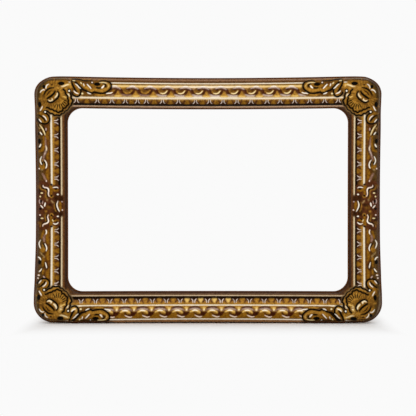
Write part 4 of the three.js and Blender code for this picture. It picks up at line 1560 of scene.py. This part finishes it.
    def moulding(self, shader: Shader) -> Socket:
        """Colour the bands of the moulding.

        Args:
            shader: the material.

        Returns:
            The colour under the washes.
        """
        share = shader.attribute("share")
        plain, painted_sheen = (shader.ramp(share, self.top_bands(glow)) for glow in (False, True))
        # mix in the painted sheen towards the top's middle
        top = shader.mix(shader.attribute("glow"), plain, painted_sheen)
        level = shader.mix(shader.attribute("on_bottom"), top, shader.ramp(share, self.bottom_bands()))
        run = shader.mix(shader.attribute("on_side"), level, shader.ramp(share, self.side_bands()))
        corner = shader.ramp(shader.attribute("fan"), self.corner_bands())
        return shader.mix(shader.attribute("on_corner"), run, corner)

    def material(self) -> Material:
        """Make the printed film's material.

        Returns:
            The material.
        """
        shader = Shader("printed_film")
        wash = shader.add("ShaderNodeAttribute", attribute_name="wash")
        bare = shader.mix(wash.outputs["Alpha"], self.moulding(shader), (0.0, 0.0, 0.0, 1.0))
        colour = shader.mix(1.0, bare, wash.outputs["Color"], "ADD")
        grain = shader.noise(self.mottle_scale, self.mottle_detail, self.mottle_rough)
        mottle = shader.ramp(grain, stops(*self.mottle_tones))
        bright = shader.add("ShaderNodeRGBToBW", {"Color": colour}).outputs["Val"]
        worn = shader.spread(bright, *self.mottle_light, *self.mottle_share)
        colour = shader.mix(worn, colour, mottle, "MULTIPLY")
        for ink in Ink:
            name = ink.name.lower()
            cover = shader.spread(shader.attribute(f"ink_{name}"), self.edge, -self.edge)
            colour = shader.mix(cover, colour, getattr(self, name))
        shader.put(shader.surface, {"Base Color": colour})
        self.vinyl.shine(shader)
        return shader.material


@dataclass(frozen=True)
class PlainVinyl:
    """Film of one colour, a little cloudy."""

    name: str
    dark: Colour
    fair: Colour
    vinyl: Vinyl = Vinyl()
    cloud_scale: float = 14.0
    cloud_detail: float = 4.0

    def material(self) -> Material:
        """Make the plain film's material.

        Returns:
            The material.
        """
        shader = Shader(self.name)
        colour = shader.cloud(self.cloud_scale, self.cloud_detail, self.dark, self.fair)
        shader.put(shader.surface, {"Base Color": colour})
        self.vinyl.shine(shader)
        return shader.material


@dataclass(frozen=True)
class MilkyPlastic:
    """Soft moulded PVC of the valve: milky, satin and a little see-through at its edges."""

    dark: Colour = screen(206, 202, 190)
    fair: Colour = screen(232, 229, 220)
    cloud_scale: float = 160.0
    cloud_detail: float = 3.0
    roughness: float = 0.38
    milk: float = 0.25
    depth: float = 0.002
    grain_scale: float = 1800.0
    grain_detail: float = 2.0
    grain_height: float = 0.00002
    grain_strength: float = 0.15

    def material(self) -> Material:
        """Make the valve's material.

        Returns:
            The material.
        """
        shader = Shader("valve_plastic")
        shader.put(shader.surface, {
            "Base Color": shader.cloud(self.cloud_scale, self.cloud_detail, self.dark, self.fair),
            "Roughness": self.roughness,
            "Subsurface Weight": self.milk,
            "Subsurface Scale": self.depth,
        })
        grain = shader.noise(self.grain_scale, self.grain_detail)
        shader.bump(grain, self.grain_height, self.grain_strength)
        return shader.material


def smooth(mesh: bpy.types.Mesh, sharp: float) -> None:
    """Shade a mesh smooth, apart from edges past an angle in degrees."""
    mesh.polygons.foreach_set("use_smooth", np.ones(len(mesh.polygons), bool))
    mesh.set_sharp_from_angle(angle=math.radians(sharp))


def face_outwards(mesh: bpy.types.Mesh) -> None:
    """Turn the faces of a closed mesh outwards.

    Args:
        mesh: the mesh.
    """
    solid = bmesh.new()
    solid.from_mesh(mesh)
    bmesh.ops.recalc_face_normals(solid, faces=solid.faces[:])
    solid.to_mesh(mesh)
    solid.free()


def make_piece(name: str, points: Array, faces: list[list[int]], material: Material, sharp: float = SHARP,
               recalculate: bool = False) -> Piece:
    """Make a smooth mesh piece.

    Args:
        name: the piece's name.
        points: its points as rows of three.
        faces: its faces as rows of point numbers.
        material: its material.
        sharp: angle in degrees past which an edge stays sharp.
        recalculate: whether its faces still have to be turned outwards.

    Returns:
        The piece.
    """
    mesh = bpy.data.meshes.new(name)
    mesh.from_pydata(points.tolist(), [], faces)
    mesh.materials.append(material)
    if recalculate:
        face_outwards(mesh)
    smooth(mesh, sharp)
    mesh.update()
    return add_object(name, mesh)


def settle(piece: Piece) -> None:
    """Turn a piece with modifiers into a plain mesh.

    Args:
        piece: the piece.
    """
    view = bpy.context.evaluated_depsgraph_get()
    mesh = bpy.data.meshes.new_from_object(piece.evaluated_get(view))
    piece.modifiers.clear()
    piece.data = mesh


def hoop_numbers(points: Array, sections: int) -> Array:
    """Number the points of a piece's sections, each closed on its first point."""
    numbers = np.arange(len(points)).reshape(sections, -1)
    return np.hstack((numbers, numbers[:, :1]))


def ring_faces(numbers: Array, flip: bool) -> list[list[int]]:
    """Join the points of a closed band.

    Args:
        numbers: point numbers as sections by columns.
        flip: whether to turn the faces over.

    Returns:
        Faces as rows of four point numbers.
    """
    after = np.roll(numbers, -1, axis=0)
    corners = (numbers[:, :-1], after[:, :-1], after[:, 1:], numbers[:, 1:])
    if flip:
        corners = corners[::-1]
    return np.stack(corners, axis=2).reshape(-1, 4).tolist()


def full_turn(steps: int) -> Array:
    """Return evenly spaced angles once round."""
    return np.linspace(0.0, 2 * math.pi, steps, endpoint=False)


@dataclass
class Puckers:
    """The small gathers that air pressure leaves beside a weld seam."""

    run_height: float = 0.00016
    corner_height: float = 0.0005
    spread: float = 0.30
    waves: tuple[int, ...] = (83, 131, 197)
    phases: Point = (0.0, 6.28)

    def heights(self, at: Stations, angles: Array, draw: np.random.Generator) -> Array:
        """Work out how far the film stands in or out.

        Args:
            at: the cross sections.
            angles: angles over the tube.
            draw: source of the waves' phases.

        Returns:
            Heights as sections by angles.
        """
        turn = np.arange(len(at.base)) / len(at.base) * 2 * math.pi
        size = self.run_height + (self.corner_height - self.run_height) * at.corner
        total = np.zeros((len(turn), len(angles)))
        for seam in (angles, math.pi - angles):
            waves = [np.sin(count * turn + draw.uniform(*self.phases)) for count in self.waves]
            beside = (seam / self.spread) * np.exp(1.0 - seam / self.spread)
            total += (size * (sum(waves) / len(waves)))[:, None] * beside
        return total


@dataclass
class FilmShell:
    """The two films of the air tube."""

    form: TubeForm
    camera: PhotoCamera
    thickness: float = 0.0003
    run_step: float = 0.0017
    corner_step: float = 0.00124
    columns: int = 60
    crowding: float = 0.28
    lining_columns: int = 4
    rear_run_step: float = 0.0042
    rear_corner_step: float = 0.0030
    rear_columns: int = 40
    hole_diameter: float = 0.021
    hole_steps: int = 64
    hole_depth: Point = (-0.006, 0.02)
    seat_still: float = 0.022
    puckers: Puckers = field(default_factory=Puckers)

    def outside(self, at: Stations, angles: Array, facing: Facing, still: Array | float = 1.0) -> Array:
        """Place a film's outside with its puckers, before the floor presses it.

        Args:
            at: the cross sections.
            angles: angles over the tube.
            facing: which film.
            still: share of the puckers at each point, where some stay flat.

        Returns:
            Points as sections by angles by three.
        """
        skin = self.form.skin(at, angles, facing)
        heights = self.puckers.heights(at, angles, np.random.default_rng(SEED + facing.value)) * still
        flat = np.cos(angles)[None, :, None] * at.out[:, None, :]
        depth = np.broadcast_to(facing.value * np.sin(angles), heights.shape)
        out = np.stack((flat[:, :, 0], depth, flat[:, :, 1]), axis=2)
        return skin + out * heights[:, :, None]

    def closed(self, name: str, skin: Array, lining: Array, facing: Facing, material: Material) -> Piece:
        """Join a film's outside and its lining at the seams, pressed flat by the floor.

        Args:
            name: the piece's name.
            skin: the outside's points as sections by angles by three.
            lining: the lining's points between the seams, in the same way.
            facing: which film.
            material: its material.

        Returns:
            The piece.
        """
        outer = np.arange(skin.size // 3).reshape(len(skin), -1)
        inner = outer.size + np.arange(lining.size // 3).reshape(len(skin), -1)
        inner = np.hstack((outer[:, :1], inner, outer[:, -1:]))
        points = np.vstack((skin.reshape(-1, 3), lining.reshape(-1, 3)))
        points[:, 2] = np.maximum(points[:, 2], 0.0)
        front = facing is Facing.FRONT
        faces = ring_faces(outer, flip=front) + ring_faces(inner, flip=not front)
        return make_piece(name, points, faces, material)

    def build_front(self, material: Material) -> Piece:
        """Make the printed film: a fine outside with a coarse lining, closed at the seams.

        Args:
            material: the printed film's material.

        Returns:
            The piece.
        """
        at = self.form.stations(self.run_step, self.corner_step)
        share = np.linspace(0.0, 1.0, self.columns + 1)
        angles = math.pi * share + self.crowding / 2 * np.sin(2 * math.pi * share)
        plain = self.form.skin(at, angles, Facing.FRONT)
        marks, wash = Print(self.form, self.camera, plain.reshape(-1, 3)).marks()
        inward = np.linspace(0.0, math.pi, self.lining_columns + 1)[1:-1]
        lining = self.form.skin(at, inward, Facing.FRONT, self.thickness)
        skin = self.outside(at, angles, Facing.FRONT)
        piece = self.closed("front_film_printed", skin, lining, Facing.FRONT, material)
        spare = lining.size // 3
        for name, values in marks.items():
            layer = piece.data.attributes.new(name, "FLOAT", "POINT")
            layer.data.foreach_set("value", np.pad(values, (0, spare), "edge").astype(np.float32))
        layer = piece.data.attributes.new("wash", "FLOAT_COLOR", "POINT")
        layer.data.foreach_set("color", np.pad(wash, ((0, spare), (0, 0))).astype(np.float32).ravel())
        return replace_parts(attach(piece, "frame"), "front_film")

    def build_rear(self, material: Material) -> Piece:
        """Make the plain film with the hole for the valve.

        Args:
            material: the plain film's material.

        Returns:
            The piece.
        """
        at = self.form.stations(self.rear_run_step, self.rear_corner_step)
        angles = np.linspace(0.0, math.pi, self.rear_columns + 1)
        plain = self.form.skin(at, angles, Facing.REAR)
        low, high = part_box("valve_base_ring")
        seat = (low + high) / 2
        away = np.hypot(plain[:, :, 0] - seat.x, plain[:, :, 2] - seat.z)
        still = smoothstep(self.seat_still, 2 * self.seat_still, away)
        skin = self.outside(at, angles, Facing.REAR, still)
        lining = self.form.skin(at, angles[1:-1], Facing.REAR, self.thickness)
        piece = self.closed("rear_film_plain", skin, lining, Facing.REAR, material)
        self.pierce(piece, seat)
        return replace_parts(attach(piece, "frame"), "rear_film")

    def pierce(self, piece: Piece, seat: Vector) -> None:
        """Cut the valve's hole.

        Args:
            piece: the rear film.
            seat: the middle of the valve's ring.
        """
        turn = full_turn(self.hole_steps)
        disc = np.stack((np.cos(turn), np.zeros(len(turn)), np.sin(turn)), axis=1) * self.hole_diameter / 2
        ends = [disc + np.array((seat.x, seat.y + depth, seat.z)) for depth in self.hole_depth]
        first = np.arange(self.hole_steps)
        second = first + self.hole_steps
        wall = np.stack((first, np.roll(first, -1), np.roll(second, -1), second), axis=1).tolist()
        mesh = bpy.data.meshes.new("hole_cutter")
        mesh.from_pydata(np.vstack(ends).tolist(), [], [*wall, first[::-1].tolist(), second.tolist()])
        face_outwards(mesh)
        cutter = add_object("hole_cutter", mesh)
        cut = piece.modifiers.new("hole", "BOOLEAN")
        cut.operation = "DIFFERENCE"
        cut.object = cutter
        cut.solver = "EXACT"
        settle(piece)
        bpy.data.objects.remove(cutter)


@dataclass
class PressedRow:
    """A row of small rounded bars, set on places with a direction and a face for each."""

    length: float
    width: float
    height: float
    material: Material
    segments: int = 8
    rings: int = 4

    def tree(self) -> bpy.types.GeometryNodeTree:
        """Build the nodes that set the bars.

        Returns:
            The node tree, with the bar's sizes as inputs.
        """
        group = bpy.data.node_groups.new("pressed_row", "GeometryNodeTree")
        group.interface.new_socket("Places", in_out="INPUT", socket_type="NodeSocketGeometry")
        for name in ("Length", "Width", "Height"):
            group.interface.new_socket(name, in_out="INPUT", socket_type="NodeSocketFloat")
        group.interface.new_socket("Bars", in_out="OUTPUT", socket_type="NodeSocketGeometry")
        sheet = NodeSheet(group)
        given = sheet.add("NodeGroupInput").outputs
        mesh = {"Segments": self.segments, "Rings": self.rings, "Radius": 0.5}
        bar = sheet.add("GeometryNodeMeshUVSphere", mesh)
        sides = {"X": given["Length"], "Y": given["Width"], "Z": given["Height"]}
        size = sheet.add("ShaderNodeCombineXYZ", sides)
        along, face = (
            sheet.add("GeometryNodeInputNamedAttribute", {"Name": name}, data_type="FLOAT_VECTOR")
            for name in ("bar_along", "bar_face")
        )
        align = "FunctionNodeAlignRotationToVector"
        turned = sheet.add(align, {"Vector": along.outputs["Attribute"]}, axis="X")
        upright = sheet.add(align, {
            "Rotation": turned.outputs["Rotation"],
            "Vector": face.outputs["Attribute"],
        }, axis="Z", pivot_axis="X")
        bars = sheet.add("GeometryNodeInstanceOnPoints", {
            "Points": given["Places"],
            "Instance": bar.outputs["Mesh"],
            "Rotation": upright.outputs["Rotation"],
            "Scale": size.outputs["Vector"],
        })
        real = sheet.add("GeometryNodeRealizeInstances", {"Geometry": bars.outputs["Instances"]})
        painted = sheet.add("GeometryNodeSetMaterial", {
            "Geometry": real.outputs["Geometry"],
            "Material": self.material,
        })
        sheet.add("NodeGroupOutput", {"Bars": painted.outputs["Geometry"]})
        return group

    def build(self, name: str, places: Array, along: Array, face: Array) -> Piece:
        """Set the bars and make them a plain mesh.

        Args:
            name: the piece's name.
            places: the bars' middles.
            along: their directions.
            face: their upward directions.

        Returns:
            The piece.
        """
        mesh = bpy.data.meshes.new(name)
        mesh.from_pydata(places.tolist(), [], [])
        for key, values in (("bar_along", along), ("bar_face", face)):
            layer = mesh.attributes.new(key, "FLOAT_VECTOR", "POINT")
            layer.data.foreach_set("vector", values.astype(np.float32).ravel())
        piece = add_object(name, mesh)
        nodes = piece.modifiers.new("bars", "NODES")
        nodes.node_group = self.tree()
        sizes = {"Length": self.length, "Width": self.width, "Height": self.height}
        for item in nodes.node_group.interface.items_tree:
            if item.in_out == "INPUT" and item.name in sizes:
                nodes[item.identifier] = sizes[item.name]
        settle(piece)
        piece.data.polygons.foreach_set("use_smooth", np.ones(len(piece.data.polygons), bool))
        return piece


@dataclass
class WeldRim:
    """A fused rim beside a seam, with a fine pressed rib across it."""

    form: TubeForm
    edge: Edge
    material: Material
    width: float = 0.0035
    thickness: float = 0.0006
    seam_overlap: float = 0.0003
    step: float = 0.0030
    lip_steps: int = 7
    rib_pitch: float = 0.0024
    rib_share: float = 0.72
    rib_width: float = 0.0009
    rib_height: float = 0.00005

    def frames(self, step: float) -> tuple[Array, Array, Array]:
        """Follow the seam.

        Args:
            step: distance between places.

        Returns:
            The rim's roots, its directions away from the seam, and its face directions.
        """
        at = self.form.stations(step, step)
        outer = self.edge is Edge.OUTER
        flat = at.base + at.out * (at.outer if outer else at.inner)[:, None]
        level = np.zeros(len(flat))
        seam = np.stack((flat[:, 0], level, flat[:, 1]), axis=1)
        away = (1.0 if outer else -1.0) * np.stack((at.out[:, 0], level, at.out[:, 1]), axis=1)
        back = np.array((0.0, 1.0, 0.0))
        fold = level
        if outer:
            drop = self.width * np.maximum(-away[:, 2], TINY)
            fold = np.arccos(np.clip(seam[:, 2] / drop, 0.0, 1.0))
        rim = away * np.cos(fold)[:, None] + back * np.sin(fold)[:, None]
        face = back * np.cos(fold)[:, None] - away * np.sin(fold)[:, None]
        root = seam - away * (self.seam_overlap * np.sin(fold))[:, None]
        return root, rim, face

    def build(self) -> Piece:
        """Make the rim.

        Returns:
            The piece.
        """
        root, rim, face = self.frames(self.step)
        half = self.thickness / 2
        turn = np.linspace(-math.pi / 2, math.pi / 2, self.lip_steps)
        along = np.concatenate(([0.0], self.width - half + half * np.cos(turn), [0.0]))
        across = np.concatenate(([-half], half * np.sin(turn), [half]))
        points = root[:, None] + rim[:, None] * along[:, None] + face[:, None] * across[:, None]
        points = points.reshape(-1, 3)
        points[:, 2] = np.maximum(points[:, 2], 0.0)
        faces = ring_faces(hoop_numbers(points, len(root)), flip=self.edge is Edge.OUTER)
        piece = make_piece(f"{self.edge.value}_rim_welded", points, faces, self.material)
        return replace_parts(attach(piece, "frame"), f"{self.edge.value}_weld_rim")

    def build_ribs(self) -> Piece:
        """Press the ribs across the rim.

        Returns:
            The piece.
        """
        root, rim, face = self.frames(self.rib_pitch)
        places = root + rim * (self.width / 2)
        places[:, 2] = np.maximum(places[:, 2], self.thickness / 2 + self.rib_height)
        height = self.thickness + 2 * self.rib_height
        row = PressedRow(self.width * self.rib_share, self.rib_width, height, self.material)
        piece = row.build(f"{self.edge.value}_rim_ribs", places, rim, face)
        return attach(piece, "frame")


@dataclass
class Valve:
    """The push-in valve on the back of the right side tube."""

    material: Material
    round_steps: int = 64
    weld_gap: float = 1e-6
    flat_angle: float = 1.5
    edge_round: float = 0.00016
    edge_steps: int = 2
    edge_angle: float = 40.0
    web_thickness: float = 0.0005
    web_bore: float = 0.0063
    web_steps: int = 14
    strap_thickness: float = 0.0006
    strap_lift: float = 0.0006
    strap_steps: int = 28
    strap_leg_steps: tuple[int, int] = (5, 6)
    strap_sharp: float = 60.0
    strap_round_steps: int = 16
    strap_squareness: Point = (0.4, 0.6)
    grip_bar: Triple = (0.0026, 0.0005, 0.0004)
    grip_start: float = 0.0012
    grip_pitch: float = 0.0012
    grip_count: int = 3
    grip_sunk: float = 0.0002

    def softened(self, node: str, body: str) -> Piece:
        """Copy a moulded piece and round its edges.

        Args:
            node: the CAD node.
            body: the body it rides.

        Returns:
            The piece.
        """
        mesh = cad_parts[node].data.copy()
        mesh.materials.clear()
        mesh.materials.append(self.material)
        solid = bmesh.new()
        solid.from_mesh(mesh)
        bmesh.ops.remove_doubles(solid, verts=solid.verts[:], dist=self.weld_gap)
        flat = math.radians(self.flat_angle)
        bmesh.ops.dissolve_limit(solid, angle_limit=flat, verts=solid.verts[:], edges=solid.edges[:])
        solid.to_mesh(mesh)
        solid.free()
        piece = add_object(f"{node}_moulded", mesh)
        rounding = piece.modifiers.new("edges", "BEVEL")
        rounding.width = self.edge_round
        rounding.segments = self.edge_steps
        rounding.limit_method = "ANGLE"
        rounding.angle_limit = math.radians(self.edge_angle)
        settle(piece)
        smooth(piece.data, SHARP)
        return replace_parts(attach(piece, body), node)

    def build_web(self) -> Piece:
        """Make the soft cone that turns inside out as the stem moves.

        Returns:
            The piece.
        """
        low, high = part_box("valve_web")
        centre = (low + high) / 2
        half = self.web_thickness / 2
        share = np.linspace(0.0, 1.0, self.web_steps)
        rim = (high.x - low.x) / 2
        radius = self.web_bore + (rim - self.web_bore) * share
        level = low.y + half + (high.y - low.y - 2 * half) * smoothstep(0.0, 1.0, share)
        wall = np.concatenate((radius, radius[::-1]))
        depth = np.concatenate((level - half, (level + half)[::-1]))
        turn = full_turn(self.round_steps)
        points = np.stack((
            centre.x + np.cos(turn)[:, None] * wall,
            np.broadcast_to(depth, (len(turn), len(depth))),
            centre.z + np.sin(turn)[:, None] * wall,
        ), axis=2).reshape(-1, 3)
        faces = ring_faces(hoop_numbers(points, len(turn)), flip=True)
        piece = make_piece("valve_web_soft", points, faces, self.material)
        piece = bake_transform(piece)
        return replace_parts(piece, "valve_web")

    def build_strap(self) -> Piece:
        """Make the strap that ties the stopper to the stem.

        Returns:
            The piece.
        """
        low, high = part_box("stopper_strap")
        half = self.strap_thickness / 2
        wide = (high.x - low.x) / 2
        bend = (high.y - low.y) / 2 - half
        middle = (low.y + high.y) / 2
        turn_at = high.z - half - bend
        turn = np.linspace(-math.pi / 2, math.pi / 2, self.strap_steps)
        rising = np.linspace(low.z + self.strap_lift, turn_at, self.strap_leg_steps[0])[:-1]
        falling = np.linspace(turn_at, low.z, self.strap_leg_steps[1])[1:]
        lean = np.concatenate((np.full(len(rising), -1.0), np.sin(turn), np.full(len(falling), 1.0)))
        rise = np.concatenate((rising, turn_at + bend * np.cos(turn), falling))
        path = np.stack((middle + bend * lean, rise), axis=1)
        heading = np.gradient(path, axis=0)
        heading /= np.linalg.norm(heading, axis=1)[:, None]
        face = np.stack((heading[:, 1], -heading[:, 0]), axis=1)
        around = full_turn(self.strap_round_steps)
        waves = (np.cos(around), np.sin(around))
        side, lift = (
            np.sign(wave) * np.abs(wave) ** power * size
            for wave, power, size in zip(waves, self.strap_squareness, (wide, half))
        )
        centre = (low.x + high.x) / 2
        points = np.stack((
            np.broadcast_to(centre + side, (len(path), len(side))),
            path[:, :1] + face[:, :1] * lift,
            path[:, 1:] + face[:, 1:] * lift,
        ), axis=2).reshape(-1, 3)
        numbers = hoop_numbers(points, len(path))
        walls = np.stack((numbers[:-1, :-1], numbers[1:, :-1], numbers[1:, 1:], numbers[:-1, 1:]), axis=2)
        ends = [numbers[0, :-1].tolist(), numbers[-1, -2::-1].tolist()]
        faces = walls.reshape(-1, 4).tolist() + ends
        piece = make_piece("stopper_strap_soft", points, faces, self.material, self.strap_sharp,
                           recalculate=True)
        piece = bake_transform(piece)
        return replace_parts(piece, "stopper_strap")

    def build_grip(self) -> Piece:
        """Make the grip bars on the stopper's finger tab.

        Returns:
            The piece.
        """
        low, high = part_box("stopper")
        rise = low.z + self.grip_start + np.arange(self.grip_count) * self.grip_pitch
        places = np.array([((low.x + high.x) / 2, high.y - self.grip_sunk, height) for height in rise])
        along = np.tile((1.0, 0.0, 0.0), (self.grip_count, 1))
        face = np.tile((0.0, 1.0, 0.0), (self.grip_count, 1))
        piece = PressedRow(*self.grip_bar, self.material).build("stopper_grip", places, along, face)
        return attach(piece, "stopper")

    def build(self) -> list[Piece]:
        """Make all the valve's pieces.

        Returns:
            The pieces.
        """
        return [
            self.softened("valve_base_ring", "frame"),
            self.softened("valve_stem", "valve"),
            self.softened("stopper", "stopper"),
            self.softened("check_flap", "flap"),
            self.build_web(),
            self.build_strap(),
            self.build_grip(),
        ]


@dataclass(frozen=True)
class Lamp:
    """A soft square lamp that looks at the frame."""

    name: str
    place: Triple
    size: float
    power: float
    target: Triple = (0.0, 0.0, 0.28)

    def build(self) -> None:
        """Hang the lamp."""
        data = bpy.data.lights.new(self.name, "AREA")
        data.size = self.size
        data.energy = self.power
        point_at(add_object(self.name, data), Vector(self.place), Vector(self.target))


@dataclass
class Studio:
    """The pale floor, the soft lights and the white background."""

    floor_half: float = 4.0
    white: float = 0.956
    world_light: float = 0.62
    shadow_width: Point = (0.36, 0.43)
    shadow_depth: Point = (0.05, 0.28)
    lamps: tuple[Lamp, ...] = (
        Lamp("key", (-0.5, -2.4, 2.2), 1.6, 36.0),
        Lamp("fill", (0.3, -2.7, 0.35), 1.4, 10.0),
        Lamp("back", (0.6, 2.4, 2.2), 1.6, 10.0),
    )

    def build_floor(self) -> None:
        """Lay the floor: matt near the frame, so that it keeps the shadow, and plain white farther off."""
        mesh = bpy.data.meshes.new("floor")
        reach = self.floor_half
        mesh.from_pydata([(-reach, -reach, 0), (reach, -reach, 0), (reach, reach, 0), (-reach, reach, 0)],
                         [], [(0, 1, 2, 3)])
        floor = add_object("floor", mesh)
        shader = Shader("floor")
        pale = (self.white, self.white, self.white, 1.0)
        shader.put(shader.surface, {"Base Color": pale, "Roughness": 1.0, "Specular IOR Level": 0.0})
        glow = shader.add("ShaderNodeEmission", {"Color": pale})
        apart = shader.add("ShaderNodeSeparateXYZ", {"Vector": shader.place()})
        past = []
        for axis, span in (("X", self.shadow_width), ("Y", self.shadow_depth)):
            size = shader.add("ShaderNodeMath", {0: apart.outputs[axis]}, operation="ABSOLUTE")
            past.append(shader.spread(size.outputs["Value"], *span))
        both = shader.add("ShaderNodeMixShader", {
            0: shader.larger(*past),
            1: shader.surface.outputs["BSDF"],
            2: glow.outputs["Emission"],
        })
        shader.put(shader.tree.nodes["Material Output"], {"Surface": both.outputs["Shader"]})
        mesh.materials.append(shader.material)

    def build_world(self) -> None:
        """Light the room evenly, and show it white to the camera and in the gloss."""
        world = bpy.data.worlds.new("studio")
        bpy.context.scene.world = world
        world.use_nodes = True
        sheet = NodeSheet(world.node_tree)
        white = (1.0, 1.0, 1.0, 1.0)
        room = sheet.tree.nodes["Background"]
        sheet.put(room, {"Color": white, "Strength": self.world_light})
        shown = sheet.add("ShaderNodeBackground", {"Color": white, "Strength": self.white})
        rays = sheet.add("ShaderNodeLightPath").outputs
        seen = sheet.larger(rays["Is Camera Ray"], rays["Is Glossy Ray"])
        both = sheet.add("ShaderNodeMixShader", {
            0: sheet.larger(seen, rays["Is Transmission Ray"]),
            1: room.outputs["Background"],
            2: shown.outputs["Background"],
        })
        sheet.put(sheet.tree.nodes["World Output"], {"Surface": both.outputs["Shader"]})

    def build(self) -> None:
        """Set up the studio."""
        bpy.context.scene.view_settings.view_transform = "Standard"
        self.build_floor()
        self.build_world()
        for lamp in self.lamps:
            lamp.build()


def main() -> None:
    """Build the frame piece by piece."""
    logging.basicConfig(level=logging.INFO, format="%(message)s")
    form = TubeForm()
    camera = PhotoCamera()
    camera.build()
    Studio().build()
    printed = PrintedVinyl().material()
    plain = PlainVinyl("plain_film", dark=screen(134, 92, 36), fair=screen(150, 106, 46)).material()
    fused = Vinyl(roughness=0.5, specular=0.03)
    welded = PlainVinyl("weld_rim", dark=screen(74, 42, 20), fair=screen(94, 56, 27), vinyl=fused,
                        cloud_scale=40.0).material()
    milky = MilkyPlastic().material()
    shell = FilmShell(form, camera)
    pieces = [shell.build_front(printed), shell.build_rear(plain)]
    for edge in Edge:
        rim = WeldRim(form, edge, welded)
        pieces.append(rim.build())
        pieces.append(rim.build_ribs())
    pieces.extend(Valve(milky).build())
    for piece in pieces:
        LOG.info("%s: %d faces", piece.name, len(piece.data.polygons))


if __name__ == "__main__":
    main()
